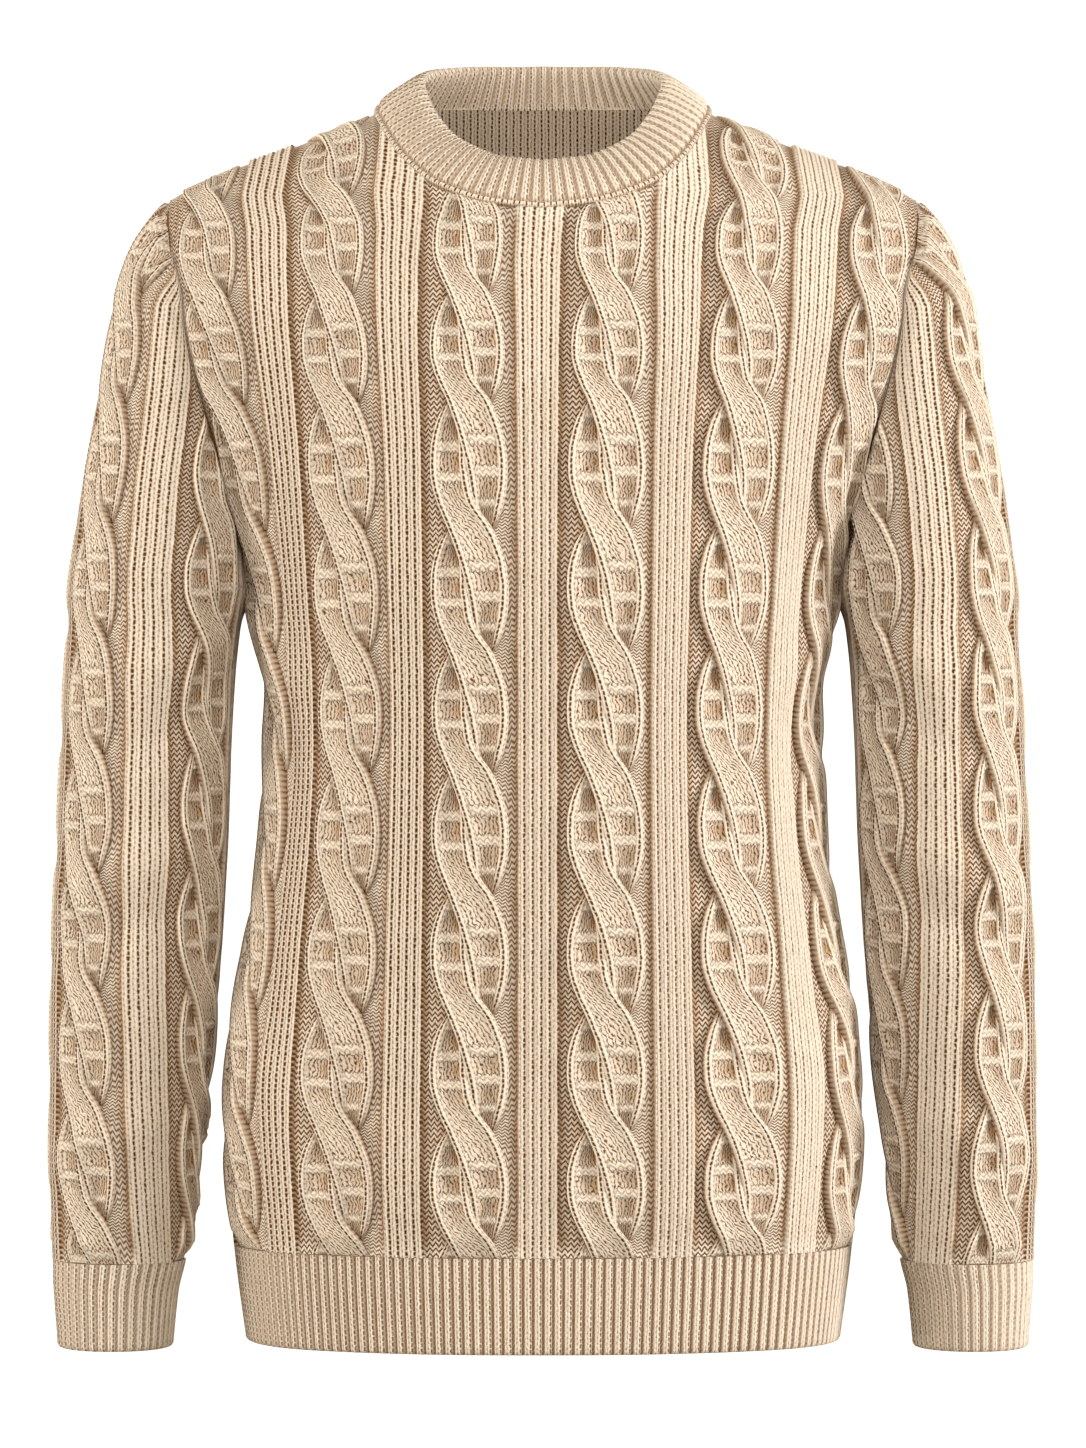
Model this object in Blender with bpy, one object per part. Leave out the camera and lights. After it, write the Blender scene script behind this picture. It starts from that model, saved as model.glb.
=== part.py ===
"""Cable knit sweater: a hollow crew-neck jumper standing in its worn form.

Front, back, two sleeves, neckband, hem band and two cuffs are separate knitted pieces that
meet at their linked seams. Lengths are in millimetres until a piece is built; the part is
in metres. +Z is up, the front faces -Y, and the origin lies between the two shoulder points
at the base of the neck.
"""

import bpy
import numpy as np

# ---------------------------------------------------------------- driving dimensions (mm)
WALL = 3.0  # knitted wall under the raised stitches
GAP = 0.3  # clearance between two pieces at a seam
UNIT = 73.0  # one rib column and one cable column, side by side
HALF_UNITS_ROUND = 12  # half the body holds 6 units, so 12 half units from seam to seam

RIB_HALF = 0.155  # half width of a rib column, in units
RIB_RAISE = 1.6
CABLE_NARROW = 12.5  # half width of a cable at a crossing
CABLE_SWELL = 7.9  # how much wider it is between two crossings
CABLE_RAISE = 5.0
CABLE_DIP = 1.5  # where a strand goes under the other
CABLE_MIDDLE = 4.2

HEM_TOP = -633.7
HEM_BOTTOM = -687.0
CUFF_TOP = -642.0
CUFF_BOTTOM = -691.0
NECK_RIB_PITCH = 6.0
BAND_RIB_RAISE = 1.3
BAND_WALL = 3.4
NECK_OUT = 3.4  # neckband, half its folded thickness outwards and inwards
NECK_IN = 2.6

ARMPIT = -268.0
ARMPIT_X = 163.4
CHEST = -110.0  # above this the form is ruled by the shoulder profile
YOKE = -70.0  # above this the rows close up towards the shoulder line
YOKE_ROWS = 4
NECK_POINT_X = 94.0  # where the neck edge meets the shoulder line
NECK_POINT_UNIT = 1.228  # where the column that runs up to the neck point ends
NECK_REACH = 0.6  # a column this near the neck point lies on it
NECK_THINNING = 2.2  # how far the inner edge stops below the neck edge
SHOULDER_TIP_X = 209.0
ARMHOLE_MARGIN = 0.07  # columns past the armhole are drawn together within this, in units
LEAN = -2.6  # the pattern sits this far off the middle of the body

YARN = (0.745, 0.584, 0.366)
YARN_BAND = (0.730, 0.568, 0.352)

# A row for each height: x of the wales at 0.5, 1 … 3 units from centre front.
WALE_COLUMNS = ("z", "x05", "x10", "x15", "x20", "x25", "x30")
WALES = (
    (-695.0, 36.0, 71.0, 106.0, 137.5, 157.0, 163.5),
    (-634.0, 37.0, 73.0, 109.0, 142.0, 163.5, 171.5),
    (-563.0, 37.5, 74.0, 110.5, 146.0, 168.5, 177.0),
    (-475.0, 37.3, 73.0, 108.0, 140.0, 159.0, 165.5),
    (-395.0, 37.0, 71.5, 104.0, 132.5, 149.5, 155.5),
    (-340.0, 37.0, 71.0, 102.5, 130.5, 147.5, 154.5),
    (-273.0, 37.0, 72.0, 105.0, 134.5, 154.0, 162.5),
    (-196.0, 37.8, 73.5, 108.5, 140.5, 167.0, 183.0),
    (-110.0, 38.5, 77.0, 113.0, 149.5, 183.0, 213.0),
    (-50.0, 38.5, 77.0, 114.5, 152.0, 185.0, 209.0),
    (40.0, 38.5, 77.0, 114.5, 152.0, 185.0, 209.0),
)

# A row for each height: front depth at the middle, how much of it is left at each wale,
# and the back's depth as a share of the front's.
DEPTH_COLUMNS = ("z", "y00", "y05", "y10", "y15", "y20", "y25", "y30", "back")
DEPTHS = (
    (-695.0, 96.0, 95.0, 89.0, 77.5, 59.0, 32.0, 0.0, 1.02),
    (-634.0, 100.0, 99.0, 92.5, 80.5, 62.0, 33.0, 0.0, 1.03),
    (-563.0, 104.0, 103.0, 96.5, 84.0, 65.0, 35.0, 0.0, 1.06),
    (-440.0, 107.0, 105.8, 98.5, 84.5, 64.5, 35.0, 0.0, 0.97),
    (-340.0, 109.0, 107.5, 99.5, 84.5, 63.5, 34.0, 0.0, 0.91),
    (-268.0, 112.0, 110.5, 102.5, 87.0, 65.5, 36.0, 0.0, 0.96),
    (-196.0, 107.0, 106.0, 100.0, 88.0, 71.5, 54.0, 38.0, 1.04),
)

# Shoulder profile: depth of the body at a drop below the shoulder line.
DROP_COLUMNS = ("drop", "depth")
DROPS = (
    (0.0, 0.0),
    (3.0, 11.0),
    (8.0, 21.0),
    (15.0, 31.0),
    (25.0, 42.0),
    (40.0, 55.0),
    (65.0, 71.0),
    (90.0, 82.5),
    (120.0, 92.5),
    (160.0, 101.5),
    (220.0, 108.0),
    (300.0, 111.0),
)

# Shoulder line: its height and the share of the profile's depth, by distance from centre.
SHOULDER_COLUMNS = ("x", "z", "share")
SHOULDERS = (
    (0.0, 45.0, 0.96),
    (40.0, 36.0, 0.97),
    (70.0, 17.0, 0.98),
    (94.0, -0.5, 0.99),
    (119.0, -11.0, 0.96),
    (147.0, -22.3, 0.90),
    (175.0, -32.4, 0.81),
    (201.0, -44.2, 0.69),
    (209.0, -49.4, 0.65),
    (230.0, -65.0, 0.60),
)

# Neck edge of the panels: height by distance from centre.
NECK_COLUMNS = ("x", "front", "back")
NECKS = (
    (0.0, -60.5, 8.0),
    (30.0, -57.0, 7.8),
    (58.0, -47.0, 6.6),
    (76.0, -32.0, 4.8),
    (88.0, -14.0, 2.4),
    (94.0, -0.5, -0.5),
)

# Where the armhole cuts the side of the body, in units from centre front.
ARMHOLE_COLUMNS = ("z", "unit")
ARMHOLES = (
    (-268.0, 3.0),
    (-245.0, 2.86),
    (-196.0, 2.79),
    (-110.0, 2.71),
    (-75.0, 2.85),
    (-50.0, 3.0),
)

# Sleeve sections: centre, half width, half depth, and the angle from the outer side round to
# the armhole.
SLEEVE_COLUMNS = ("z", "centre", "half_width", "half_depth", "turn")
SLEEVES = (
    (-700.0, 239.5, 30.0, 36.0, 180.0),
    (-660.0, 239.0, 33.5, 38.5, 180.0),
    (-643.0, 237.2, 35.7, 41.0, 180.0),
    (-609.0, 235.2, 38.6, 44.0, 180.0),
    (-559.0, 232.5, 42.0, 47.0, 180.0),
    (-525.0, 230.2, 43.7, 49.0, 180.0),
    (-475.0, 227.5, 45.7, 52.0, 180.0),
    (-407.0, 223.5, 46.4, 55.0, 180.0),
    (-340.0, 220.7, 46.2, 57.5, 180.0),
    (-290.0, 217.2, 46.8, 58.5, 180.0),
    (-268.0, 214.0, 50.0, 59.0, 180.0),
    (-240.0, 209.5, 51.0, 59.5, 158.0),
    (-196.0, 205.5, 48.5, 58.0, 130.0),
    (-110.0, 196.0, 43.0, 53.0, 97.0),
    (-90.0, 197.0, 36.5, 43.0, 84.0),
    (-70.0, 202.0, 23.5, 25.5, 78.0),
    (-58.0, 206.0, 11.0, 13.0, 78.0),
    (-50.0, 208.0, 1.5, 2.0, 80.0),
)
SLEEVE_UNITS = 2.37  # from the outer side round to the underarm, where the sleeve is widest
SLEEVE_FIRST = -2.3  # the sleeve's columns lie between these units of the pattern
SLEEVE_LAST = 2.2

# How the pattern lies at each height: the width of the ribs and of the cables as shares of
# the slack knitting's, and how far the sleeve's ribs lie forward of its outer side, in units.
PATTERN_COLUMNS = ("z", "body_rib", "body_cable", "sleeve_rib", "sleeve_cable", "sleeve_shift")
PATTERN = (
    (-700.0, 1.00, 1.00, 1.15, 0.84, 0.15),
    (-520.0, 1.00, 1.00, 1.15, 0.84, 0.15),
    (-330.0, 1.00, 1.00, 1.15, 0.84, 0.16),
    (-240.0, 1.00, 1.00, 1.15, 0.84, 0.12),
    (-161.0, 1.04, 0.94, 1.15, 0.84, 0.04),
    (-94.0, 1.12, 0.86, 1.15, 0.84, -0.04),
    (-50.0, 1.18, 0.84, 1.15, 0.84, -0.06),
)

# Heights of the cable crossings.
CROSSING_COLUMNS = ("turn", "body", "sleeve")
CROSSINGS = (
    (-1.0, -684.0, -678.0),
    (0.0, -623.8, -617.0),
    (1.0, -563.4, -553.0),
    (2.0, -499.8, -489.5),
    (3.0, -434.6, -424.0),
    (4.0, -368.2, -358.5),
    (5.0, -302.5, -294.0),
    (6.0, -235.5, -231.0),
    (7.0, -166.1, -164.5),
    (8.0, -106.9, -103.0),
    (9.0, -49.5, -46.0),
    (10.0, 8.0, 12.0),
)
ROWS_IN_A_TURN = (0.0, 0.14, 0.45, 0.76)

# Top edge of the neckband by the angle from centre front, in degrees.
CREST_COLUMNS = ("angle", "z")
CRESTS = (
    (0.0, -33.0),
    (20.0, -30.5),
    (36.0, -24.0),
    (48.0, -17.0),
    (60.0, -7.0),
    (83.0, 12.0),
    (105.0, 22.0),
    (125.0, 26.5),
    (150.0, 29.5),
    (180.0, 30.5),
)
CREST_MIDDLE = -8.0
CREST_HALF_WIDTH = 66.0
CREST_HALF_DEPTH = 58.0


# ---------------------------------------------------------------- reading the tables
def column(table, names, name):
    return np.array([row[names.index(name)] for row in table])


def hermite(low, high, slope_low, slope_high, width, part):
    """Cubic between two values with given slopes, at a part of the way from 0 to 1."""
    square = part * part
    cube = square * part
    return (
        (2 * cube - 3 * square + 1) * low
        + (cube - 2 * square + part) * width * slope_low
        + (3 * square - 2 * cube) * high
        + (cube - square) * width * slope_high
    )


def smooth(xs, ys, at):
    """A smooth curve through the points (xs, ys), read at one place or many."""
    at = np.clip(at, xs[0], xs[-1])
    low = np.clip(np.searchsorted(xs, at, side="right") - 1, 0, len(xs) - 2)
    steps = np.diff(ys) / np.diff(xs)
    product = steps[1:] * steps[:-1]
    total = np.where(product > 0, steps[1:] + steps[:-1], 1.0)
    slopes = np.concatenate(
        [steps[:1], np.where(product > 0, 2 * product / total, 0.0), steps[-1:]]
    )
    width = xs[low + 1] - xs[low]
    part = (at - xs[low]) / width
    return hermite(ys[low], ys[low + 1], slopes[low], slopes[low + 1], width, part)


def reading(table, names, key, name, at):
    return smooth(column(table, names, key), column(table, names, name), at)


def across(sections, unit, odd):
    """Reads sections given at 0, 0.5 … 3 units, mirrored at both ends so that the curve
    stays smooth over centre front and, below the arm, over the side seam."""
    step = 0.5
    place = np.abs(unit) / step
    low = np.clip(np.floor(place).astype(int), 0, len(sections) - 2)
    part = place - low
    before = -sections[1] if odd else sections[1]
    after = sections[-2] if odd else 2 * sections[-1] - sections[-2]
    padded = np.stack([before, *sections, after])
    rows = np.arange(padded.shape[1])
    slope_low = (padded[low + 2, rows] - padded[low, rows]) / 2
    slope_high = (padded[low + 3, rows] - padded[low + 1, rows]) / 2
    return hermite(
        padded[low + 1, rows], padded[low + 2, rows], slope_low, slope_high, 1.0, part
    )


def shoulder_height(x):
    return reading(SHOULDERS, SHOULDER_COLUMNS, "x", "z", np.abs(x))


def yoke_depth(x, z):
    """Depth of the body below the shoulder line at this x and height."""
    drop = shoulder_height(x) - z
    share = reading(SHOULDERS, SHOULDER_COLUMNS, "x", "share", np.abs(x))
    return reading(DROPS, DROP_COLUMNS, "drop", "depth", np.maximum(drop, 0.0)) * share


# ---------------------------------------------------------------- the body's form
def body_x(unit, z):
    heights = column(WALES, WALE_COLUMNS, "z")
    sections = [np.zeros_like(z)]
    for name in WALE_COLUMNS[1:]:
        sections.append(smooth(heights, column(WALES, WALE_COLUMNS, name), z))
    below_arm = across(sections, unit, odd=True)
    x = np.sign(unit) * below_arm
    middle = np.clip((2.4 - np.abs(unit)) / 1.4, 0, 1)
    return x + LEAN * middle * np.clip((-40 - z) / 50, 0, 1)


def body_point(unit, z, back):
    """Point of the body's plain form at a place across the pattern and a height."""
    unit = np.asarray(unit, float)
    z = np.asarray(z, float)
    x = body_x(unit, z)
    heights = np.append(column(DEPTHS, DEPTH_COLUMNS, "z"), (CHEST, CHEST + 30))
    sections = []
    for index, name in enumerate(DEPTH_COLUMNS[1:8]):
        at = np.full(1, index / 2)
        yoke = [yoke_depth(body_x(at, np.full(1, h)), h)[0] for h in heights[-2:]]
        depths = np.append(column(DEPTHS, DEPTH_COLUMNS, name), yoke)
        sections.append(smooth(heights, depths, np.minimum(z, CHEST)))
    below = across(sections, unit, odd=False)
    y = np.where(z > CHEST, yoke_depth(x, z), below)
    if back:
        shares = np.append(column(DEPTHS, DEPTH_COLUMNS, "back"), (1.06, 1.04))
        y = y * smooth(heights, shares, np.minimum(z, CHEST + 30))
    return np.stack([x, y if back else -y, z], axis=-1)


def normals_of(grid, turned):
    """Unit normals of a grid of points, outwards."""
    along = np.gradient(grid, axis=0)
    over = np.gradient(grid, axis=1)
    normal = np.cross(over, along)
    normal /= np.linalg.norm(normal, axis=-1, keepdims=True)
    return -normal if turned else normal


def pattern(z, name):
    return reading(PATTERN, PATTERN_COLUMNS, "z", name, z)


def turn_of(z, place):
    """How many cable crossings lie below this height."""
    return np.interp(
        z,
        column(CROSSINGS, CROSSING_COLUMNS, place),
        column(CROSSINGS, CROSSING_COLUMNS, "turn"),
    )


# ---------------------------------------------------------------- raised ribs and cables
def cable_half(turn):
    """Half width of a slack cable at a place up its length."""
    return CABLE_NARROW + CABLE_SWELL * np.sin(np.pi * (turn % 1.0)) ** 0.8


def unit_columns(first, last, extra):
    """Columns of points across the pattern, as (rib centre, kind): two on each rib, then
    valley, side, middle, side and valley on each cable."""
    columns = [(float(place), "edge") for place in extra]
    for rib in range(int(np.floor(first)) - 1, int(np.ceil(last)) + 2):
        columns += [(float(rib), "rib_a"), (float(rib), "rib_b")]
        columns += [(rib + 0.5, kind) for kind in ("valley_a", "side_a", "middle")]
        columns += [(rib + 0.5, kind) for kind in ("side_b", "valley_b")]
    order = {"rib_a": -RIB_HALF, "rib_b": RIB_HALF, "valley_a": -0.31, "side_a": -0.15}
    order.update({"side_b": 0.15, "valley_b": 0.31})
    columns = [c for c in columns if first < c[0] + order.get(c[1], 0.0) < last]
    columns += [(first, "edge"), (last, "edge")]
    return sorted(columns, key=lambda c: c[0] + order.get(c[1], 0.0))


def column_place(centre, kind, turn, rib, cable):
    """Where a column of points lies at each row, in units."""
    half = cable_half(turn) * cable
    moves = {
        "rib_a": -RIB_HALF * UNIT * rib,
        "rib_b": RIB_HALF * UNIT * rib,
        "valley_a": -(half + 2.5),
        "side_a": -(half - 5.0),
        "side_b": half - 5.0,
        "valley_b": half + 2.5,
    }
    return centre + moves.get(kind, 0.0 * turn) / UNIT


def raised(unit, turn, rib_width, cable_width):
    """Height of the knit above its plain wall at a place across and up the pattern. Units run
    to the right as seen from outside, so that every cable twists the same way."""
    part = turn % 1.0
    off_rib = np.abs((unit + 0.5) % 1.0 - 0.5) / rib_width
    rib = np.interp(off_rib, (0.0, RIB_HALF, RIB_HALF + 0.03, 0.5), (1, 1, 0, 0))
    off_cable = (unit % 1.0 - 0.5) * UNIT
    half = cable_half(turn) * cable_width
    left = CABLE_DIP + (CABLE_RAISE - CABLE_DIP) * (1 - part) ** 0.7
    right = CABLE_DIP + (CABLE_RAISE - CABLE_DIP) * part**0.7
    side = np.where(off_cable < 0, left, right)
    over = np.abs(off_cable) / half
    low = np.clip((over - 0.35) / 0.3, 0.0, 1.0)
    shape = CABLE_MIDDLE + (side - CABLE_MIDDLE) * low
    shape = shape * np.clip((1.12 - over) / 0.35, 0.0, 1.0)
    return RIB_RAISE * rib + shape


def swallowed(places, limit, whole, margin):
    """Columns past a seam are drawn together inside it, and the rest stay where they are."""
    kept = limit - margin
    squeezed = kept + (places - kept) * (limit - kept) / (whole - kept)
    return np.where(places > kept, squeezed, places)


# ---------------------------------------------------------------- building a walled piece
def bridge(faces, fine, coarse, kept):
    """Joins a fine edge to a coarse one that starts and ends beside the same points."""
    for number in range(len(kept) - 1):
        first, last = kept[number], kept[number + 1]
        middle = (first + last) // 2
        for step in range(first, middle):
            faces.append((fine[step], fine[step + 1], coarse[number]))
        faces.append((fine[middle], coarse[number + 1], coarse[number]))
        for step in range(middle, last):
            faces.append((fine[step], fine[step + 1], coarse[number + 1]))


def numbered(rows, columns, start, joined):
    """Point numbers of a grid whose first rows, up to joined, close on themselves."""
    ids = np.zeros((rows, columns), int)
    for row in range(rows):
        count = columns - 1 if row < joined else columns
        ids[row, :count] = start + np.arange(count)
        if count < columns:
            ids[row, -1] = start
        start += count
    return ids, start


def walled(name, outer, inner, keep_rows, keep_columns, joined, colour):
    """One closed knitted piece: a fine outer face, a plain inner face read at the kept rows
    and columns, and an edge all round."""
    outer_ids, start = numbered(*outer.shape[:2], 0, joined)
    inside = inner[np.ix_(keep_rows, keep_columns)]
    joined_inside = sum(1 for row in keep_rows if row < joined)
    inner_ids, total = numbered(*inside.shape[:2], start, joined_inside)
    points = np.zeros((total, 3))
    points[outer_ids] = outer
    points[inner_ids] = inside
    faces = []
    for ids, flip in ((outer_ids, False), (inner_ids, True)):
        for row in range(ids.shape[0] - 1):
            for col in range(ids.shape[1] - 1):
                face = [ids[row, col], ids[row, col + 1]]
                face += [ids[row + 1, col + 1], ids[row + 1, col]]
                faces.append(tuple(dict.fromkeys(face[::-1] if flip else face)))
    edge = []
    bridge(edge, outer_ids[0], inner_ids[0], keep_columns)
    faces += [face[::-1] for face in edge]
    bridge(faces, outer_ids[-1], inner_ids[-1], keep_columns)
    if joined < outer.shape[0]:
        low = max(joined - 1, 0)
        rows_kept = [row for row in keep_rows if row >= low]
        shifted = [row - low for row in rows_kept]
        inner_from = inner_ids.shape[0] - len(rows_kept)
        bridge(faces, outer_ids[low:, 0], inner_ids[inner_from:, 0], shifted)
        edge = []
        bridge(edge, outer_ids[low:, -1], inner_ids[inner_from:, -1], shifted)
        faces += [face[::-1] for face in edge]
    mesh = bpy.data.meshes.new(name)
    mesh.from_pydata((points / 1000).tolist(), [], [[int(i) for i in f] for f in faces])
    mesh.validate()
    mesh.shade_smooth()
    mesh.set_sharp_from_angle(angle=0.9)
    material = bpy.data.materials.new(name + "_knit")
    material.use_nodes = True
    shader = material.node_tree.nodes["Principled BSDF"]
    shader.inputs["Base Color"].default_value = (*colour, 1.0)
    shader.inputs["Roughness"].default_value = 0.95
    shader.inputs["Metallic"].default_value = 0.0
    mesh.materials.append(material)
    piece = bpy.data.objects.new(name, mesh)
    bpy.context.scene.collection.objects.link(piece)
    return piece


def every(count, step, also=()):
    """Every few of the numbers up to count, with the ends and any others asked for."""
    return sorted({0, count - 1, *range(0, count, step), *also})


def flattened_armpit(grid, height):
    """Lowers the raised knit round the armpit, where sleeve and body press together."""
    side = grid * np.array([0.0, 1.0, 1.0])
    side[..., 0] = np.abs(grid[..., 0]) - abs(ARMPIT_X)
    side[..., 2] -= ARMPIT
    away = np.linalg.norm(side, axis=-1)
    height *= np.clip((away - 6.0) / 28.0, 0.0, 1.0)


def every_row(count, armpit, tip):
    """Every third row counted from the armpit, so that both sides of the armhole agree."""
    rows = {row for row in range(count) if (row - armpit) % 3 == 0 and row < tip - 1}
    return sorted(rows | {0, tip, count - 1})


def drawn_in(grid, row, towards):
    """Moves one row of a grid half a seam's clearance towards its neighbour row."""
    way = grid[towards] - grid[row]
    grid[row] += way / np.linalg.norm(way, axis=-1, keepdims=True) * GAP / 2


# ---------------------------------------------------------------- rows up the garment
def rows_between(low, high, place):
    """Heights of the rows of points, a few for each cable crossing."""
    heights = [low]
    for turn in range(-1, 11):
        for part in ROWS_IN_A_TURN:
            z = np.interp(
                turn + part,
                column(CROSSINGS, CROSSING_COLUMNS, "turn"),
                column(CROSSINGS, CROSSING_COLUMNS, place),
            )
            if low + 4 < z < high - 4:
                heights.append(float(z))
    return heights + [high]


def yoke_steps():
    """Parts of the way from the yoke to the shoulder line, closing up towards it."""
    return [1 - (1 - (n + 1) / YOKE_ROWS) ** 2 for n in range(YOKE_ROWS)]


BODY_ROWS = rows_between(HEM_TOP, ARMPIT, "body")
ARM_ROWS = rows_between(ARMPIT, YOKE, "body")[1:]
TIP = float(shoulder_height(SHOULDER_TIP_X))


def armhole_unit(z):
    z = np.maximum(z, ARMPIT)
    return reading(ARMHOLES, ARMHOLE_COLUMNS, "z", "unit", np.minimum(z, TIP))


def panel_grids(back):
    """Plain form, outward normals and raised height of the front or the back."""
    columns = unit_columns(-3.0, 3.0, extra=(-1.0, 1.0))
    heights = BODY_ROWS + ARM_ROWS
    count = len(heights) + YOKE_ROWS
    grid = np.zeros((count, len(columns), 3))
    units = np.zeros((count, len(columns)))
    turns = np.zeros((count, len(columns)))
    neck_edge = "back" if back else "front"
    for index, (centre, kind) in enumerate(columns):
        z = np.array(heights + [YOKE] * YOKE_ROWS)
        turn = turn_of(z, "body")
        turn[-YOKE_ROWS:] = turn[-YOKE_ROWS]
        unit = column_place(
            centre, kind, turn, pattern(z, "body_rib"), pattern(z, "body_cable")
        )
        sign = np.sign(unit)
        if (centre, kind) in ((1.5, "valley_a"), (-1.5, "valley_b")):
            unit[-YOKE_ROWS:] = np.linspace(
                unit[-YOKE_ROWS - 1], sign[-1] * NECK_POINT_UNIT, YOKE_ROWS + 1
            )[1:]
        x = np.abs(body_x(unit[-1:], np.zeros(1)))
        top = float(shoulder_height(x)[0])
        if x[0] < NECK_POINT_X - NECK_REACH:
            top = float(reading(NECKS, NECK_COLUMNS, "x", neck_edge, x)[0])
        even = np.clip((NECK_POINT_X - 2.0 - x[0]) / 22.0, 0.0, 1.0)
        steps = np.array(yoke_steps()) * (1 - even)
        steps += np.linspace(0.0, 1.0, YOKE_ROWS + 1)[1:] * even
        z[-YOKE_ROWS:] = YOKE + (top - YOKE) * steps
        limit = armhole_unit(z)
        unit = sign * swallowed(np.abs(unit), limit, 3.0, ARMHOLE_MARGIN)
        grid[:, index] = body_point(unit, z, back)
        units[:, index] = unit
        turns[:, index] = turn_of(z, "body")
    rise = np.linalg.norm(np.diff(grid[-YOKE_ROWS - 1 :], axis=0), axis=-1)
    turns[-YOKE_ROWS:] = turns[-YOKE_ROWS - 1] + np.cumsum(rise, axis=0) / 58.0
    normals = normals_of(grid, turned=back)
    widths = [pattern(grid[..., 2], name) for name in ("body_rib", "body_cable")]
    height = raised(-units if back else units, turns, *widths)
    return grid, normals, height


def ridge_slope(x):
    """How steeply the shoulder line falls away from the neck."""
    x = np.abs(x)
    return (shoulder_height(x + 1) - shoulder_height(x - 1)) / 2


def sleeve_row(z, edge_front, edge_back):
    """One row of a left sleeve: arc lengths and points from its outer side round to the
    armhole or the underarm, front half and back half."""
    centre, wide, deep, turn = (
        float(reading(SLEEVES, SLEEVE_COLUMNS, "z", name, z)) for name in SLEEVE_COLUMNS[1:]
    )
    angle = np.radians(np.linspace(0.0, min(turn, 180.0), 181))
    halves = []
    for sign, edge in ((-1.0, edge_front), (1.0, edge_back)):
        points = np.stack(
            [
                centre + wide * np.cos(angle),
                sign * deep * np.sin(angle),
                np.full_like(angle, z),
            ],
            axis=-1,
        )
        if edge is not None:
            away = edge - points[-1]
            points += away * (angle / angle[-1])[:, None] ** 2
        length = np.linalg.norm(np.diff(points, axis=0), axis=-1)
        halves.append((np.concatenate([[0.0], np.cumsum(length)]), points))
    return halves


def sleeve_grids(front, back):
    """Plain form, normals and raised height of the sleeve on the +X side."""
    columns = [
        (centre, kind)
        for centre, kind in unit_columns(SLEEVE_FIRST, SLEEVE_LAST, ())
        if abs(centre) < 1.9 or kind in ("rib_a", "rib_b", "middle", "edge")
    ]
    heights = rows_between(CUFF_TOP, ARMPIT, "sleeve") + ARM_ROWS
    tip_rows = [YOKE + (TIP - YOKE) * step for step in yoke_steps()[:-1]]
    heights = heights + tip_rows
    arm_start = len(heights) - len(ARM_ROWS) - len(tip_rows)
    grid = np.zeros((len(heights), len(columns), 3))
    units = np.zeros((len(heights), len(columns)))
    turns = np.zeros((len(heights), len(columns)))
    body_start = len(BODY_ROWS)
    for row, z in enumerate(heights):
        edges = (None, None)
        if row >= arm_start - 1:
            at = body_start + row - arm_start
            edges = (front[at, -1], back[at, -1])
        halves = sleeve_row(z, *edges)
        turns[row] = turn_of(z, "sleeve")
        rib, cable, shift = (
            float(pattern(z, name)) for name in ("sleeve_rib", "sleeve_cable", "sleeve_shift")
        )
        for index, (centre, kind) in enumerate(columns):
            place = column_place(centre, kind, turns[row, 0], rib, cable) + shift
            length, points = halves[0 if place > 0 else 1]
            limit = length[-1] / UNIT
            margin = min(max(0.12, 0.5 - limit), limit)
            away = float(swallowed(np.array(abs(place)), limit, SLEEVE_UNITS, margin))
            if index in (0, len(columns) - 1):
                away = limit
            for axis in range(3):
                grid[row, index, axis] = np.interp(away * UNIT, length, points[:, axis])
            units[row, index] = np.sign(place) * away - shift
    normals = normals_of(grid, turned=True)
    widths = [pattern(grid[..., 2], name) for name in ("sleeve_rib", "sleeve_cable")]
    heights_by_side = {
        "left": raised(-units, turns, *widths),
        "right": raised(units, turns, *widths),
    }
    return grid, normals, heights_by_side, arm_start


def flattened_seam(grid, height, column, rows, reach):
    """Lowers the raised knit towards a seam, where the stitches are taken in."""
    line = grid if column == 0 else grid[:, ::-1]
    step = np.linalg.norm(np.diff(line, axis=1), axis=-1)
    away = np.concatenate([np.zeros((len(grid), 1)), np.cumsum(step, axis=1)], axis=1)
    away = away if column == 0 else away[:, ::-1]
    height[rows] *= np.clip(away[rows] / reach, 0.1, 1.0)


def thickened(grid, normals, height, wall):
    """Outer points raised over the plain form, and plain inner points below it."""
    normals[0, :, 2] = 0.0
    normals[0] /= np.linalg.norm(normals[0], axis=-1, keepdims=True)
    return grid + normals * height[..., None], grid - normals * wall


def ring_at(z, count):
    """Points and outward directions round the body at a height, from centre front."""
    place = np.arange(count) / count * HALF_UNITS_ROUND
    unit = np.where(place > 9, place - 12, np.where(place > 3, 6 - place, place))
    at_back = (place > 3) & (place < 9)
    level = np.full(count, float(z))
    points = np.where(
        at_back[:, None], body_point(unit, level, True), body_point(unit, level, False)
    )
    return points


def ribbed_band(name, rings, ribs, wall, colour):
    """A band of knit one, purl one ribs through rings of points, all round."""
    count = ribs * 2
    outer = []
    inner = []
    for points, rise in rings:
        along = np.roll(points, -1, axis=0) - np.roll(points, 1, axis=0)
        out = np.stack([along[:, 1], -along[:, 0], np.zeros(count)], axis=-1)
        out /= np.linalg.norm(out, axis=-1, keepdims=True)
        height = np.where(np.arange(count) % 2 == 0, BAND_RIB_RAISE, 0.0) * rise
        outer.append(points + out * height[:, None])
        inner.append(points - out * wall)
    outer = np.array(outer)
    inner = np.array(inner)
    outer = np.concatenate([outer, outer[:, :1]], axis=1)
    inner = np.concatenate([inner, inner[:, :1]], axis=1)
    keep = every(count + 1, 8)
    rows = [0, len(rings) - 1]
    return walled(name, outer, inner, rows, keep, len(rings), colour)


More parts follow.
